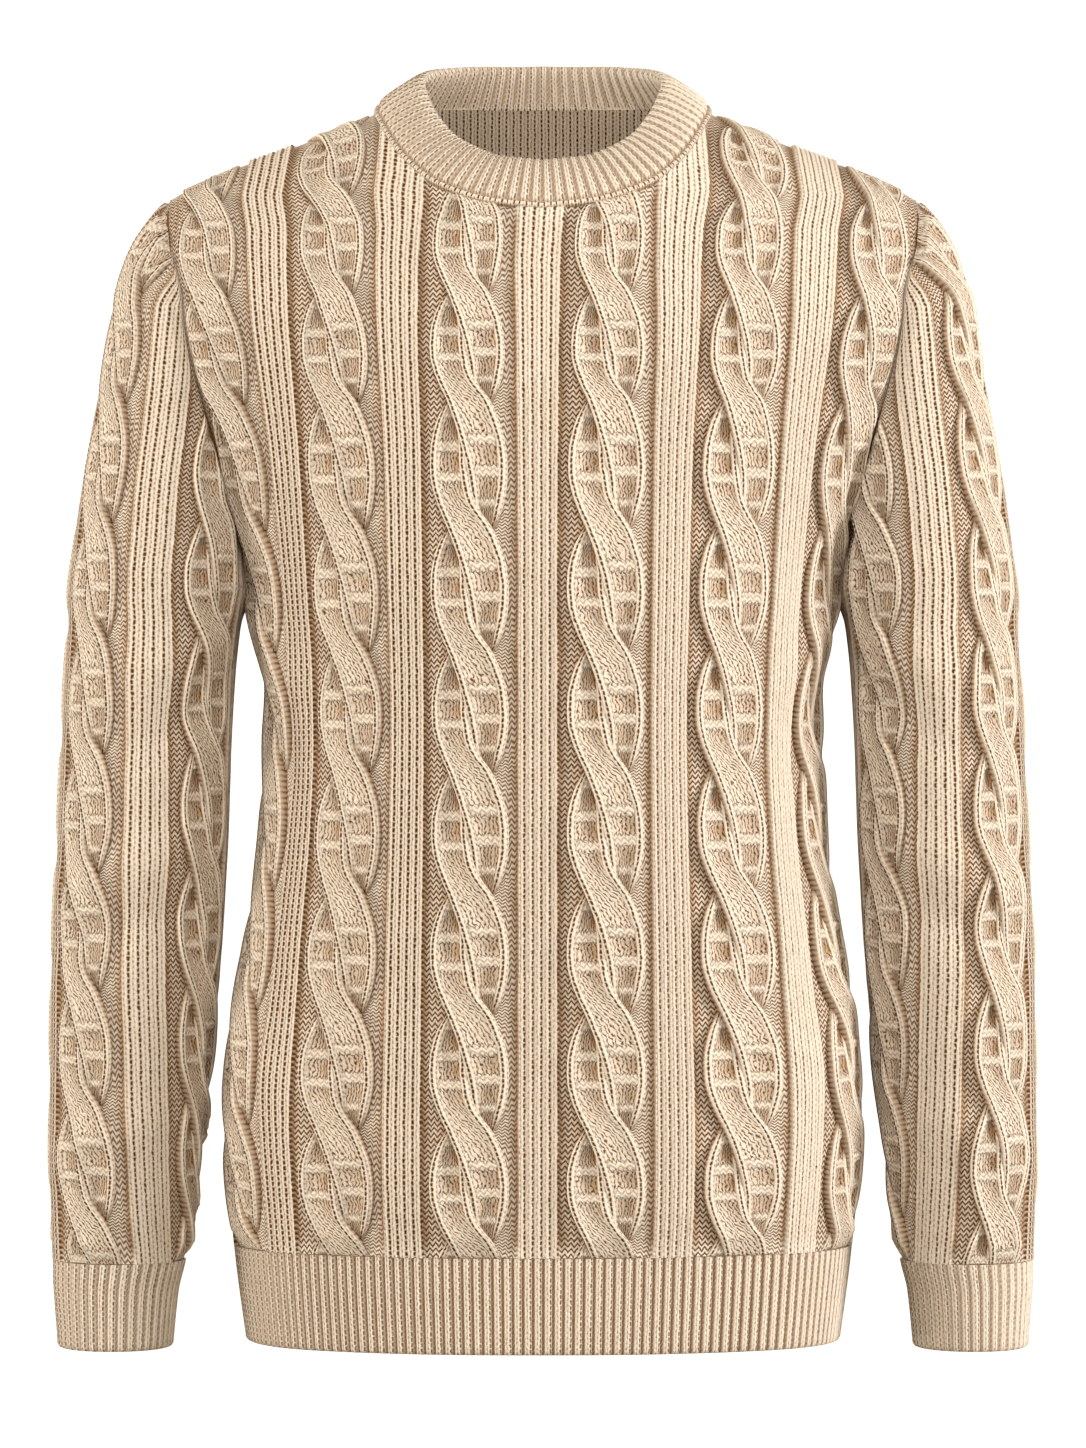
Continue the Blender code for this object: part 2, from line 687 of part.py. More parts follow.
# ---------------------------------------------------------------- the pieces
def build_body():
    pieces = {}
    for name, back in (("front_panel", False), ("back_panel", True)):
        pieces[name] = panel_grids(back)
    front = pieces["front_panel"][0]
    behind = pieces["back_panel"][0]
    sleeve = sleeve_grids(front, behind)
    grid_s, normals_s, _, arm_start = sleeve
    rows_s = slice(arm_start - 1, grid_s.shape[0])
    rows_b = slice(len(BODY_ROWS) - 1, len(BODY_ROWS) - 1 + grid_s.shape[0] - arm_start + 1)
    for name, column_s in (("front_panel", -1), ("back_panel", 0)):
        normals = pieces[name][1]
        normals[: len(BODY_ROWS), -1] = (1.0, 0.0, 0.0)
        shared = normals[rows_b, -1] + normals_s[rows_s, column_s]
        shared /= np.linalg.norm(shared, axis=-1, keepdims=True)
        shared[0] = (0.0, 0.0, -1.0)
        normals[rows_b, -1] = shared
        normals_s[rows_s, column_s] = shared
        normals[:, 0] = normals[:, -1] * np.array([-1.0, 1.0, 1.0])
        top = pieces[name][0][-1]
        slope = ridge_slope(top[:, 0]) * np.sign(top[:, 0])
        ridge = np.stack([-slope, np.zeros_like(slope), np.ones_like(slope)], axis=-1)
        ridge /= np.linalg.norm(ridge, axis=-1, keepdims=True)
        on_ridge = np.abs(top[:, 0]) > NECK_POINT_X - NECK_REACH
        normals[-1, on_ridge] = ridge[on_ridge]
    for name, (grid, normals, height) in pieces.items():
        drawn_in(grid, -1, -2)
        for side in (0, -1):
            flattened_seam(grid, height, side, rows_b, 16.0)
        flattened_armpit(grid, height)
        on_neck = np.abs(grid[-1, :, 0]) < NECK_POINT_X + NECK_REACH
        below = np.linalg.norm(grid[-YOKE_ROWS - 1 :] - grid[-1], axis=-1)
        fade = np.clip(below / 9.0, 0.15, 1.0)
        height[-YOKE_ROWS - 1 :, on_neck] *= fade[:, on_neck]
        across_view = grid.transpose(1, 0, 2)
        drawn_in(across_view, 0, 1)
        drawn_in(across_view, -1, -2)
        outer, inner = thickened(grid, normals, height, WALL)
        down = inner[-2] - inner[-1]
        down /= np.linalg.norm(down, axis=-1, keepdims=True)
        on_edge = np.abs(grid[-1, :, 0]) < NECK_POINT_X - NECK_REACH
        inner[-1] += down * NECK_THINNING * on_edge[:, None]
        if name == "back_panel":
            outer, inner = outer[:, ::-1], inner[:, ::-1]
        rows = every_row(grid.shape[0], len(BODY_ROWS) - 1, grid.shape[0] - 2)
        keep = every(grid.shape[1], 4, also=(1, grid.shape[1] - 2))
        walled(name, outer, inner, rows, keep, 0, YARN)
    return pieces, sleeve


def build_sleeves(sleeve):
    grid, normals, heights, joined = sleeve
    for row in range(joined, grid.shape[0]):
        for col, towards in ((0, 1), (-1, -2)):
            way = grid[row, towards] - grid[row, col]
            grid[row, col] += way / np.linalg.norm(way) * GAP / 2
    rows = every_row(grid.shape[0], joined - 1, grid.shape[0] - 1)
    keep = every(grid.shape[1], 4, also=(1, grid.shape[1] - 2))
    for side, height in heights.items():
        for edge in (0, -1):
            flattened_seam(grid, height, edge, slice(joined - 5, grid.shape[0]), 18.0)
        flattened_armpit(grid, height)
        height[:joined, 0] = height[:joined, -1]
    normals[:joined, 0] = normals[:joined, -1] = (-1.0, 0.0, 0.0)
    normals[joined - 1, 0] = normals[joined - 1, -1] = (0.0, 0.0, -1.0)
    underarm = grid[:joined, 0].copy()
    underarm[-1, 2] -= GAP
    grid[:joined, 0] = grid[:joined, -1] = underarm
    outer, inner = thickened(grid, normals, heights["left"], WALL)
    walled("sleeve_left", outer[:, ::-1], inner[:, ::-1], rows, keep, joined, YARN)
    outer, inner = thickened(grid, normals, heights["right"], WALL)
    flip = np.array([-1.0, 1.0, 1.0])
    walled("sleeve_right", outer * flip, inner * flip, rows, keep, joined, YARN)


def build_hem():
    ribs = 160
    rings = []
    for z, rise in ((HEM_BOTTOM, 0.7), (HEM_TOP - GAP, 1.0)):
        rings.append((ring_at(z, ribs * 2), rise))
    ribbed_band("hem_band", rings, ribs, BAND_WALL, YARN_BAND)


def build_cuffs():
    ribs = 40
    for name, side in (("cuff_left", 1.0), ("cuff_right", -1.0)):
        rings = []
        for z, rise in ((CUFF_BOTTOM, 0.7), (CUFF_TOP - GAP, 1.0)):
            (front_length, front), (back_length, back) = sleeve_row(z, None, None)
            loop = np.concatenate([back[::-1], front[1:]])
            length = np.linalg.norm(np.diff(loop, axis=0), axis=-1)
            length = np.concatenate([[0.0], np.cumsum(length)])
            at = np.arange(ribs * 2) / (ribs * 2) * length[-1]
            points = np.stack([np.interp(at, length, loop[:, n]) for n in range(3)], -1)
            points[:, 0] *= side
            rings.append((points if side < 0 else points[::-1], rise))
        ribbed_band(name, rings, ribs, BAND_WALL, YARN_BAND)


def build_neckband(pieces):
    """A folded ribbed band standing on the neck edge of the front and the back."""
    edge = []
    for name in ("front_panel", "back_panel"):
        grid, normals, _ = pieces[name]
        on_neck = np.abs(grid[-1, :, 0]) < NECK_POINT_X + NECK_REACH
        line = np.concatenate([grid[-1, on_neck], normals[-1, on_neck]], axis=-1)
        edge.append(line if name == "front_panel" else line[::-1][1:-1])
    loop = np.concatenate(edge)
    loop = np.concatenate([loop, loop[:1]])
    length = np.linalg.norm(np.diff(loop[:, :3], axis=0), axis=-1)
    length = np.concatenate([[0.0], np.cumsum(length)])
    ribs = int(length[-1] * 0.9 / NECK_RIB_PITCH)
    count = ribs * 2
    at = np.arange(count) / count * length[-1]
    base = np.stack([np.interp(at, length, loop[:, n]) for n in range(3)], axis=-1)
    base_out = np.stack([np.interp(at, length, loop[:, n]) for n in range(3, 6)], axis=-1)
    base_out /= np.linalg.norm(base_out, axis=-1, keepdims=True)
    angle = np.arctan2(base[:, 0] / NECK_POINT_X, -(base[:, 1] - CREST_MIDDLE) / 76.0)
    crest = np.stack(
        [
            CREST_HALF_WIDTH * np.sin(angle),
            CREST_MIDDLE - CREST_HALF_DEPTH * np.cos(angle),
            reading(CRESTS, CREST_COLUMNS, "angle", "z", np.degrees(np.abs(angle))),
        ],
        axis=-1,
    )
    rise = crest - base
    high = np.linalg.norm(rise, axis=-1, keepdims=True)
    way = rise / high
    along = np.roll(crest, -1, axis=0) - np.roll(crest, 1, axis=0)
    out = np.cross(along, way)
    out /= np.linalg.norm(out, axis=-1, keepdims=True)
    peaks = np.where(np.arange(count) % 2 == 0, BAND_RIB_RAISE, 0.0)[:, None]
    start = base + way * 1.2
    outer = [start + base_out * (1.2 + 0.5 * peaks)]
    inner = [start - base_out * WALL]
    for share, swell in ((0.4, 1.0), (0.8, 0.75)):
        lean = base_out * (1 - share) + out * share
        lean /= np.linalg.norm(lean, axis=-1, keepdims=True)
        middle = base + rise * share
        outer.append(middle + lean * (NECK_OUT * swell + peaks * 0.9))
        inner.append(middle - lean * NECK_IN * swell)
    outer.append(crest + out * 0.6 + peaks * way * 0.3)
    inner.append(crest - out * 1.6 - way * 0.8)
    outer = np.array(outer)
    inner = np.array(inner)
    outer = np.concatenate([outer, outer[:, :1]], axis=1)
    inner = np.concatenate([inner, inner[:, :1]], axis=1)
    keep = every(count + 1, 5)
    walled("neckband", outer, inner, [0, 2, 3], keep, 4, YARN_BAND)


def main():
    for old in list(bpy.data.objects):
        bpy.data.objects.remove(old, do_unlink=True)
    pieces, sleeve = build_body()
    build_sleeves(sleeve)
    build_hem()
    build_cuffs()
    build_neckband(pieces)


main()
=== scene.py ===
"""Cable knit sweater: its eight knitted pieces stitch by stitch, the yarn, the light and the
camera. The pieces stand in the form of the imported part, in metres, with +Z up and the front
facing -Y. Lengths in the tables and functions are in millimetres until a mesh is made."""

import math

import bpy
import numpy as np
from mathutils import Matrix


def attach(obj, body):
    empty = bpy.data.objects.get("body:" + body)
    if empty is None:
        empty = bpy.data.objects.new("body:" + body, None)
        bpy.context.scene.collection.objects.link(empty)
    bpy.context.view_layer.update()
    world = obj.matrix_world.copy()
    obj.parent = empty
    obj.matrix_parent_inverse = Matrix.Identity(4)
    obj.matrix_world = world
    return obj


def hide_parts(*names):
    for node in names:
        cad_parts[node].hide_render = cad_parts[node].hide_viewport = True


bl_info = {
    "name": "Cable knit sweater",
    "version": (1, 0, 0),
    "blender": (4, 5, 0),
    "location": "View3D > Sidebar > Sweater",
    "description": "Knits the pieces of a hollow cable knit sweater and sets up its stage",
    "category": "Add Mesh",
}

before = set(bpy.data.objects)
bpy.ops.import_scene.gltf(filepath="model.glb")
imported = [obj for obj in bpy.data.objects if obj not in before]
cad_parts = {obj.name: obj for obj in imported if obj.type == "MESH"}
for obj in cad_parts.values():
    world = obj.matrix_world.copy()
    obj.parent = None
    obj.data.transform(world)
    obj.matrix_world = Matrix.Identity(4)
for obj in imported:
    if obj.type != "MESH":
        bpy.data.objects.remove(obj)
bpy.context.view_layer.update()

# ---------------------------------------------------------------- the part's own dimensions
GAP = 0.3  # clearance between two pieces at a seam
REPEAT = 73.0  # one rib and one cable: the unit in which places across the cloth are given
SIDE = 3.0  # from centre front or centre back to a side seam, in units
HEM_TOP = -633.7
HEM_BOTTOM = -687.0
CUFF_TOP = -642.0
CUFF_BOTTOM = -691.0
ARMPIT = -268.0
CHEST = -110.0  # above it the body's depth comes from the slope under the shoulder line
YOKE = -70.0  # above it the rows draw together towards the neck and the shoulders
NECK_X = 94.0  # where the neck meets the shoulder seam
SHOULDER_X = 209.0  # the shoulder tip
LEAN = -2.6  # how far the middle of the body hangs to one side
LEAN_WITHIN, LEAN_BLEND = 2.4, 1.4  # units from the middle in which it fades
BODY_POINTS = 241  # points across the front's and the back's plain form
SLEEVE_POINTS = 111  # and across half a sleeve's


class Table:
    """Rows of measures. The first column is the place at which the others are read."""

    def __init__(self, names, *rows):
        self.names = names.split()
        self.rows = np.array(rows)

    def column(self, name):
        return self.rows[:, self.names.index(name)]

    def read(self, name, at):
        return smooth(self.rows[:, 0], self.column(name), at)


# How far to the side each half unit of the pattern lies, by height.
WALES = Table(
    "z x05 x10 x15 x20 x25 x30",
    (-695, 36, 71, 106, 137.5, 157, 163.5),
    (-634, 37, 73, 109, 142, 163.5, 171.5),
    (-563, 37.5, 74, 110.5, 146, 168.5, 177),
    (-475, 37.3, 73, 108, 140, 159, 165.5),
    (-395, 37, 71.5, 104, 132.5, 149.5, 155.5),
    (-340, 37, 71, 102.5, 130.5, 147.5, 154.5),
    (-273, 37, 72, 105, 134.5, 154, 162.5),
    (-196, 37.8, 73.5, 108.5, 140.5, 167, 183),
    (-110, 38.5, 77, 113, 149.5, 183, 213),
    (-50, 38.5, 77, 114.5, 152, 185, 209),
    (40, 38.5, 77, 114.5, 152, 185, 209),
)
# How far in front of the middle they lie, and how far behind it the back's do, as a share.
DEPTHS = Table(
    "z y00 y05 y10 y15 y20 y25 y30 back",
    (-695, 96, 95, 89, 77.5, 59, 32, 0, 1.02),
    (-634, 100, 99, 92.5, 80.5, 62, 33, 0, 1.03),
    (-563, 104, 103, 96.5, 84, 65, 35, 0, 1.06),
    (-440, 107, 105.8, 98.5, 84.5, 64.5, 35, 0, 0.97),
    (-340, 109, 107.5, 99.5, 84.5, 63.5, 34, 0, 0.91),
    (-268, 112, 110.5, 102.5, 87, 65.5, 36, 0, 0.96),
    (-196, 107, 106, 100, 88, 71.5, 54, 38, 1.04),
)
# Depth of the body by how far it is below the shoulder line.
DROPS = Table(
    "drop depth",
    (0, 0), (3, 11), (8, 21), (15, 31), (25, 42), (40, 55),
    (65, 71), (90, 82.5), (120, 92.5), (160, 101.5), (220, 108), (300, 111),
)
# The shoulder line from the middle outwards, and the depth below it as a share.
SHOULDERS = Table(
    "x z share",
    (0, 45, 0.96), (40, 36, 0.97), (70, 17, 0.98), (94, -0.5, 0.99),
    (119, -11, 0.96), (147, -22.3, 0.90), (175, -32.4, 0.81), (201, -44.2, 0.69),
    (209, -49.4, 0.65), (230, -65, 0.60),
)
# Heights of the neck edge.
NECKS = Table(
    "x front back",
    (0, -60.5, 8), (30, -57, 7.8), (58, -47, 6.6),
    (76, -32, 4.8), (88, -14, 2.4), (94, -0.5, -0.5),
)
# Where the armholes cut the pattern of the body.
ARMHOLES = Table(
    "z unit",
    (-268, 3), (-245, 2.86), (-196, 2.79), (-110, 2.71), (-75, 2.85), (-50, 3),
)
# A sleeve's oval: its middle, its half sizes and how many degrees of it the cloth goes round
# to each side, from the outer side.
SLEEVES = Table(
    "z centre half_width half_depth turn",
    (-700, 239.5, 30, 36, 180),
    (-660, 239, 33.5, 38.5, 180),
    (-643, 237.2, 35.7, 41, 180),
    (-609, 235.2, 38.6, 44, 180),
    (-559, 232.5, 42, 47, 180),
    (-525, 230.2, 43.7, 49, 180),
    (-475, 227.5, 45.7, 52, 180),
    (-407, 223.5, 46.4, 55, 180),
    (-340, 220.7, 46.2, 57.5, 180),
    (-290, 217.2, 46.8, 58.5, 180),
    (-268, 214, 50, 59, 180),
    (-240, 209.5, 51, 59.5, 158),
    (-196, 205.5, 48.5, 58, 130),
    (-110, 196, 43, 53, 97),
    (-90, 197, 36.5, 43, 84),
    (-70, 202, 23.5, 25.5, 78),
    (-58, 206, 11, 13, 78),
    (-50, 208, 1.5, 2, 80),
)
# How the pattern lies at each height: the width of the ribs and of the cables as shares of
# the slack knitting's, and how far the sleeve's ribs lie forward of its outer side, in units.
PATTERN = Table(
    "z body_rib body_cable sleeve_rib sleeve_cable sleeve_shift",
    (-700, 1.00, 1.00, 1.15, 0.84, 0.15),
    (-520, 1.00, 1.00, 1.15, 0.84, 0.15),
    (-330, 1.00, 1.00, 1.15, 0.84, 0.16),
    (-240, 1.00, 1.00, 1.15, 0.84, 0.12),
    (-161, 1.04, 0.94, 1.15, 0.84, 0.04),
    (-94, 1.12, 0.86, 1.15, 0.84, -0.04),
    (-50, 1.18, 0.84, 1.15, 0.84, -0.06),
)
# Heights of the cables' crossings.
CROSSINGS = Table(
    "turn body sleeve",
    (-1, -684, -678), (0, -623.8, -617), (1, -563.4, -553),
    (2, -499.8, -489.5), (3, -434.6, -424), (4, -368.2, -358.5),
    (5, -302.5, -294), (6, -235.5, -231), (7, -166.1, -164.5),
    (8, -106.9, -103), (9, -49.5, -46), (10, 8, 12),
)
# The neckband's fold: its height, by degrees from centre front, and its oval from above.
CRESTS = Table(
    "angle z",
    (0, -33), (20, -30.5), (36, -24), (48, -17), (60, -7),
    (83, 12), (105, 22), (125, 26.5), (150, 29.5), (180, 30.5),
)
CREST_MIDDLE = -8.0
CREST_HALF_WIDTH = 66.0
CREST_HALF_DEPTH = 58.0
NECK_HALF_DEPTH = 76.0

# ---------------------------------------------------------------- the knitting
# A kind of stitch is (knit, purl, ladder, shade), each from 0 to 1; its shade is painted shade, a mix of
# the yarn towards the brown of the hollows.
PLAIN = (1.0, 0.0, 0.0, 0.0)
# Painted shade in these kinds: a little over a rib, deep on a rib's flank and under a cable, some in place
# of the cut ribs, a trace on the inside.
RIB_KIND = (1.0, 0.0, 0.0, 0.09)
RIB_EDGE = (0.35, 0.65, 0.0, 0.7)  # where a rib's flank meets the purl ground
UNDER_KIND = (0.0, 1.0, 0.0, 0.85)  # the ground under a cable
ARMHOLE_KIND = (0.0, 1.0, 0.0, 0.3)  # in place of the ribs cut by the armholes
INSIDE_KIND = (1.0, 0.0, 0.0, 0.05)
LEG = (0.25, 0.0)  # place of the middle of a stitch's leg, for faces too small to knit
RIB_WALES = 5  # stitches across a rib column
LEG_HEIGHTS = (0.0, 0.95, 0.55, 0.95)  # edge, leg, middle and leg of a wale, share of its rise
FANNED_PALER = 0.15  # how much fainter the purl bumps are where the rows fan out
GAP_SHARES = (0.1, 0.32, 0.55, 0.78, 1.0)  # points across the purl ground beside a rib
UNDER_SHARES = (0.14, 0.32, 0.5, 0.68, 0.86)  # and under a cable
CORD_HALF = 2.35  # half width of the one stitch column that edges a strand
FILL_WALES = 3.0  # stitches between the two edge columns of a strand
RIB_FOOT = 0.45  # the lowest part of a rib, as a share of its rise
RIB_EDGE_LOW, GROUND_LOW, UNDER_LOW = -0.4, -0.55, -0.8  # the ground's heights off the wall
GROUND_WALE = 3.4  # width of a purl stitch beside the ribs
INSIDE_WALE = 3.9  # width of a stitch on the plain inside
INSIDE_EVERY = (5, 10)  # rows and columns of the outside to one of the inside
BAND_INSIDE_EVERY = (6, 12)  # the same for a band
SHARP_FROM = 1.3  # angle between two faces from which their edge is sharp, in radians
ROWS_IN_REPEAT = 22.0  # rows of stitches from one crossing to the next
STRAND_STEPS = 60  # rows of points down a strand
CABLE_REACH = 0.24  # half a cable, in units: past an armhole by more, it is cut off
CABLE_HALF_MOST = 23.0  # a cable takes up no more of the purl ground than this to each side
# At its ends a cable sinks: over what length, and to what share of its height.
SINK_AT_FOOT = (11.0, 0.06)
SINK_AT_NECK = (9.0, 0.3)
SINK_AT_SHOULDER = (22.0, 0.22)
SINK_CURVE = 0.8
UNDER_SHOULDER = 90.0  # from this x outwards the body's cables end under the shoulder seam
CROSSINGS_APART = 58.0  # cloth between two crossings of the body above the yoke line
GROUND_DRAWN, CABLE_DRAWN = 0.05, 0.03  # units in which cut columns are drawn together
GROUND_FADE, CABLE_FADE = 8.0, 6.0  # widths over which stitches sink into a seam
ARMHOLE_FADE = 60.0  # height over which the outermost ribs end above the armpit
FAN_ROWS, FAN_SLANT = 4.5, 1.1  # how the rows spread beside a crossing
SLEEVE_TOP = 0.68  # how near the last row of a sleeve comes to the shoulder tip
ROW_STEP = 3.0  # height from one row of points to the next
YOKE_STEPS = 26  # rows of points above the yoke line
EVEN_WITHIN, EVEN_BLEND = 92.0, 22.0  # under the neck the yoke's rows are evenly spaced

# One strand from where it comes out from under the other, over it at 1, and back under it at
# 2: its left and right edge columns, their heights, how far the filling lies below them, how
# much painted shade the filling has at its left and right (dim_left, dim_right), and how far
# its stitches have slanted across.
STRAND = Table(
    "turn left right left_high right_high sunk dim_left dim_right slant",
    (0.00, -10.6, -5, 0.9, 0.3, 1.2, 0.42, 0.56, 0),
    (0.10, -13.6, -4.4, 2.6, 0.9, 2.4, 0.34, 0.84, 0),
    (0.25, -17, -3.7, 3.8, 1.8, 3.1, 0.23, 0.82, 0),
    (0.40, -18.8, -2.9, 4.4, 2.8, 3.4, 0.17, 0.80, 0),
    (0.50, -19, -2.7, 4.6, 3.6, 3.5, 0.16, 0.76, 0),
    (0.60, -18.7, -1.8, 4.7, 4.4, 3.4, 0.16, 0.68, 0),
    (0.70, -17.4, -0.8, 4.9, 5, 2.9, 0.15, 0.54, 0.1),
    (0.80, -15.3, 1, 5.1, 5.4, 2.3, 0.15, 0.33, 0.6),
    (0.90, -12.6, 4.6, 5.3, 5.7, 1.7, 0.14, 0.20, 1.3),
    (1.00, -9.6, 9.4, 5.5, 5.8, 1.5, 0.13, 0.16, 2),
    (1.10, -7, 12.6, 5.6, 5.6, 1.5, 0.09, 0.20, 2.6),
    (1.20, -4.6, 15, 5.6, 5.2, 1.9, 0.07, 0.25, 2.9),
    (1.30, -2.6, 17, 5.6, 4.9, 2.3, 0.12, 0.43, 3),
    (1.40, -0.7, 18, 5.4, 4.7, 2.9, 0.20, 0.51, 3),
    (1.50, 0.9, 18.6, 4.9, 4.6, 3.2, 0.23, 0.53, 3),
    (1.60, 2.2, 18.5, 4.3, 4.4, 3.2, 0.27, 0.53, 3),
    (1.70, 3, 17.9, 3.4, 4.1, 2.9, 0.36, 0.53, 3),
    (1.80, 3.6, 16.6, 2.4, 3.5, 2.4, 0.45, 0.53, 3),
    (1.90, 4.3, 14.9, 1.4, 2.6, 1.8, 0.44, 0.46, 3),
    (2.00, 5.2, 12.6, 0.3, 1, 1, 0.45, 0.43, 3),
)
STRAND_HIGH = 5.6  # the height in this table that stands for the cable rise
# A strand's filling is long stitches side by side, crossed by raised purl bars: where along
# it each bar starts and ends.
BARS = ((0.08, 0.14), (0.34, 0.40), (0.59, 0.65), (1.29, 1.35), (1.54, 1.60), (1.79, 1.84))
BAR_BLEND = 0.05
BAR_RISE = 1.3  # how far the filling's sunk middle comes up at a bar
BAR_PURL = 0.42  # how far its stitches are purl
BAR_PALER = 0.8  # how much of the filling's shade it loses
SHADE_CURVE = 1.4  # above 1, the shade across a filling gathers at its right
UNDER_TURN = 0.12  # how much of a strand at each end is deep under the other one
# Across an edge column and across a filling: share of its half width or width, and height;
# then how much painted shade an edge column has, and how far a filling's purl bars stand up.
CORD_SECTION = (
    (-1.0, -1.3, 0.1),
    (-0.66, -0.15, 0.0),
    (0.0, -0.45, 0.05),
    (0.66, -0.15, 0.0),
    (1.0, -1.1, 0.15),
)
FILL_SECTION = (
    (0.1, -0.6, 0.6),
    (0.3, -0.95, -0.2),
    (0.5, -1.0, 0.7),
    (0.7, -0.95, -0.2),
    (0.9, -0.6, 0.6),
)
# Painted shade of the purl ground, from the rib to the cable: on the side where a strand comes
# up from below, and on the side where it goes back down and the rows fan out.
GROUND_SHADES = Table(
    "from_rib rising fanned",
    (0, 0.70, 0.75), (0.25, 0.30, 0.34), (0.6, 0.16, 0.08), (0.85, 0.28, 0.02), (1, 0.50, 0),
)

# Round a band, one knit and one purl rib: how far along the repeat, rise, place in stitches,
# and kind of stitch, with painted shade on the flanks and deepest in the purl gutters.
BAND_WALL = 3.4
NECK_DRAWN_IN = 0.9  # the neckband's ribs are fewer than its edge has room for
NECK_SHADE = 0.65  # how deep the shade between the neckband's ribs is
RIB_SECTION = (
    (0.00, 0.80, 0.5, PLAIN),
    (0.16, 1.00, 0.75, PLAIN),
    (0.33, 0.55, 0.98, (0.5, 0.0, 0.0, 0.2)),
    (0.42, -0.3, 1.3, (0.0, 0.4, 0.0, 0.68)),
    (0.58, -0.3, 1.7, (0.0, 0.4, 0.0, 0.68)),
    (0.67, 0.55, 2.02, (0.5, 0.0, 0.0, 0.2)),
    (0.84, 1.00, 2.25, PLAIN),
)
# Up the outside of the neckband, over its fold and down the inside: share of its height, how
# far out, how much of the ribs show, row of stitches and painted shade.
NECK_PROFILE = (
    (-0.02, 0.8, 0, 0, 0.6),
    (0.00, 2.6, 0, 0.4, 0.1),
    (0.045, 3.2, 0, 0.8, 0),
    (0.085, 2, 0.2, 1.2, 0.6),
    (0.14, 3, 1, 1.7, 0),
    (0.25, 3.5, 1, 2.7, 0),
    (0.37, 3.7, 1, 3.8, 0),
    (0.49, 3.7, 1, 4.9, 0),
    (0.61, 3.5, 1, 6, 0),
    (0.73, 3.2, 1, 7.1, 0),
    (0.84, 2.7, 1, 8.2, 0),
    (0.93, 2, 0.8, 9.2, 0),
    (0.99, 1.1, 0.5, 10, 0),
    (1.01, 0.2, 0.3, 10.6, 0),
    (1.00, -0.8, 0.4, 11.2, 0),
    (0.95, -1.7, 0.8, 12, 0.1),
    (0.84, -2.3, 1, 13, 0.15),
    (0.66, -2.6, 1, 14.8, 0.2),
    (0.48, -2.6, 1, 16.4, 0.2),
    (0.30, -2.6, 1, 18, 0.2),
    (0.12, -2.8, 0.8, 19.6, 0.2),
    (0.04, -3.6, 0, 20.4, 0),
    (-0.02, -3.4, 0, 21, 0.2),
    (-0.04, -1.5, 0, 21.5, 0.6),
)

# Folds, one by one: from one place to another on the cloth, how wide, how high. Places are
# in units across and millimetres of height; a fold below zero is a trough.
BODY_FOLDS = (
    (2.95, -262, 1.9, -330, 15, 3),
    (2.95, -300, 2.1, -372, 14, -2.5),
    (-2.95, -262, -1.9, -335, 15, 3),
    (-2.95, -305, -2.1, -380, 14, -2.5),
    (-2.9, -480, -1.9, -560, 22, 3),
    (2.9, -470, 1.9, -555, 22, 3),
    (-1.2, -540, -0.8, -640, 26, 2.5),
    (1.3, -530, 0.9, -640, 26, 2.5),
    (0, -420, 0.1, -600, 30, -2),
)
SLEEVE_FOLDS = (
    (1.9, -285, 0.7, -330, 13, 3),
    (1.9, -315, 0.9, -365, 12, -3),
    (1.6, -405, 0.3, -440, 14, 3),
    (1.6, -440, 0.4, -470, 12, -2.6),
    (-1.7, -390, -0.4, -430, 14, 2.6),
    (-1.8, -430, -0.5, -462, 12, -2.4),
    (1.3, -560, 0.2, -590, 13, 2.4),
    (-1.3, -570, -0.2, -600, 13, 2.2),
    (-1.9, -290, -0.8, -345, 14, 2.8),
)


# ---------------------------------------------------------------- the body and the sleeves
def hermite(low, high, slope_low, slope_high, width, part):
    """Cubic between two values with given slopes, at a part of the way from 0 to 1."""
    square = part * part
    cube = square * part
    return (
        (2 * cube - 3 * square + 1) * low
        + (cube - 2 * square + part) * width * slope_low
        + (3 * square - 2 * cube) * high
        + (cube - square) * width * slope_high
    )


def smooth(xs, ys, at):
    """A smooth curve through the points (xs, ys), read at one place or many."""
    at = np.clip(at, xs[0], xs[-1])
    low = np.clip(np.searchsorted(xs, at, side="right") - 1, 0, len(xs) - 2)
    steps = np.diff(ys) / np.diff(xs)
    product = steps[1:] * steps[:-1]
    total = np.where(product > 0, steps[1:] + steps[:-1], 1.0)
    slopes = np.concatenate(
        [steps[:1], np.where(product > 0, 2 * product / total, 0.0), steps[-1:]]
    )
    width = xs[low + 1] - xs[low]
    part = (at - xs[low]) / width
    return hermite(ys[low], ys[low + 1], slopes[low], slopes[low + 1], width, part)


def lengths_along(points):
    """How far each point of a line lies from its first."""
    steps = np.linalg.norm(np.diff(points[:, :3], axis=0), axis=-1)
    return np.concatenate([[0.0], np.cumsum(steps)])


def points_at(points, length, at):
    """Reads a line of points, whose lengths along it are given, at some lengths."""
    return np.stack([np.interp(at, length, values) for values in points.T], axis=-1)


def across(sections, unit, odd):
    """Reads sections given at 0, 0.5 … 3 units, mirrored over centre front and the side."""
    place = np.abs(unit) / 0.5
    low = np.clip(np.floor(place).astype(int), 0, len(sections) - 2)
    part = place - low
    before = -sections[1] if odd else sections[1]
    after = sections[-2] if odd else 2 * sections[-1] - sections[-2]
    padded = np.stack([before, *sections, after])
    rows = np.arange(padded.shape[1])
    slope_low = (padded[low + 2, rows] - padded[low, rows]) / 2
    slope_high = (padded[low + 3, rows] - padded[low + 1, rows]) / 2
    return hermite(
        padded[low + 1, rows], padded[low + 2, rows], slope_low, slope_high, 1.0, part
    )


def shoulder_height(x):
    """Height of the shoulder line, from which the body's depth is measured down."""
    return SHOULDERS.read("z", np.abs(x))


def yoke_depth(x, z):
    """Depth of the body below the shoulder line at this x and height."""
    drop = shoulder_height(x) - z
    return DROPS.read("depth", np.maximum(drop, 0.0)) * SHOULDERS.read("share", np.abs(x))


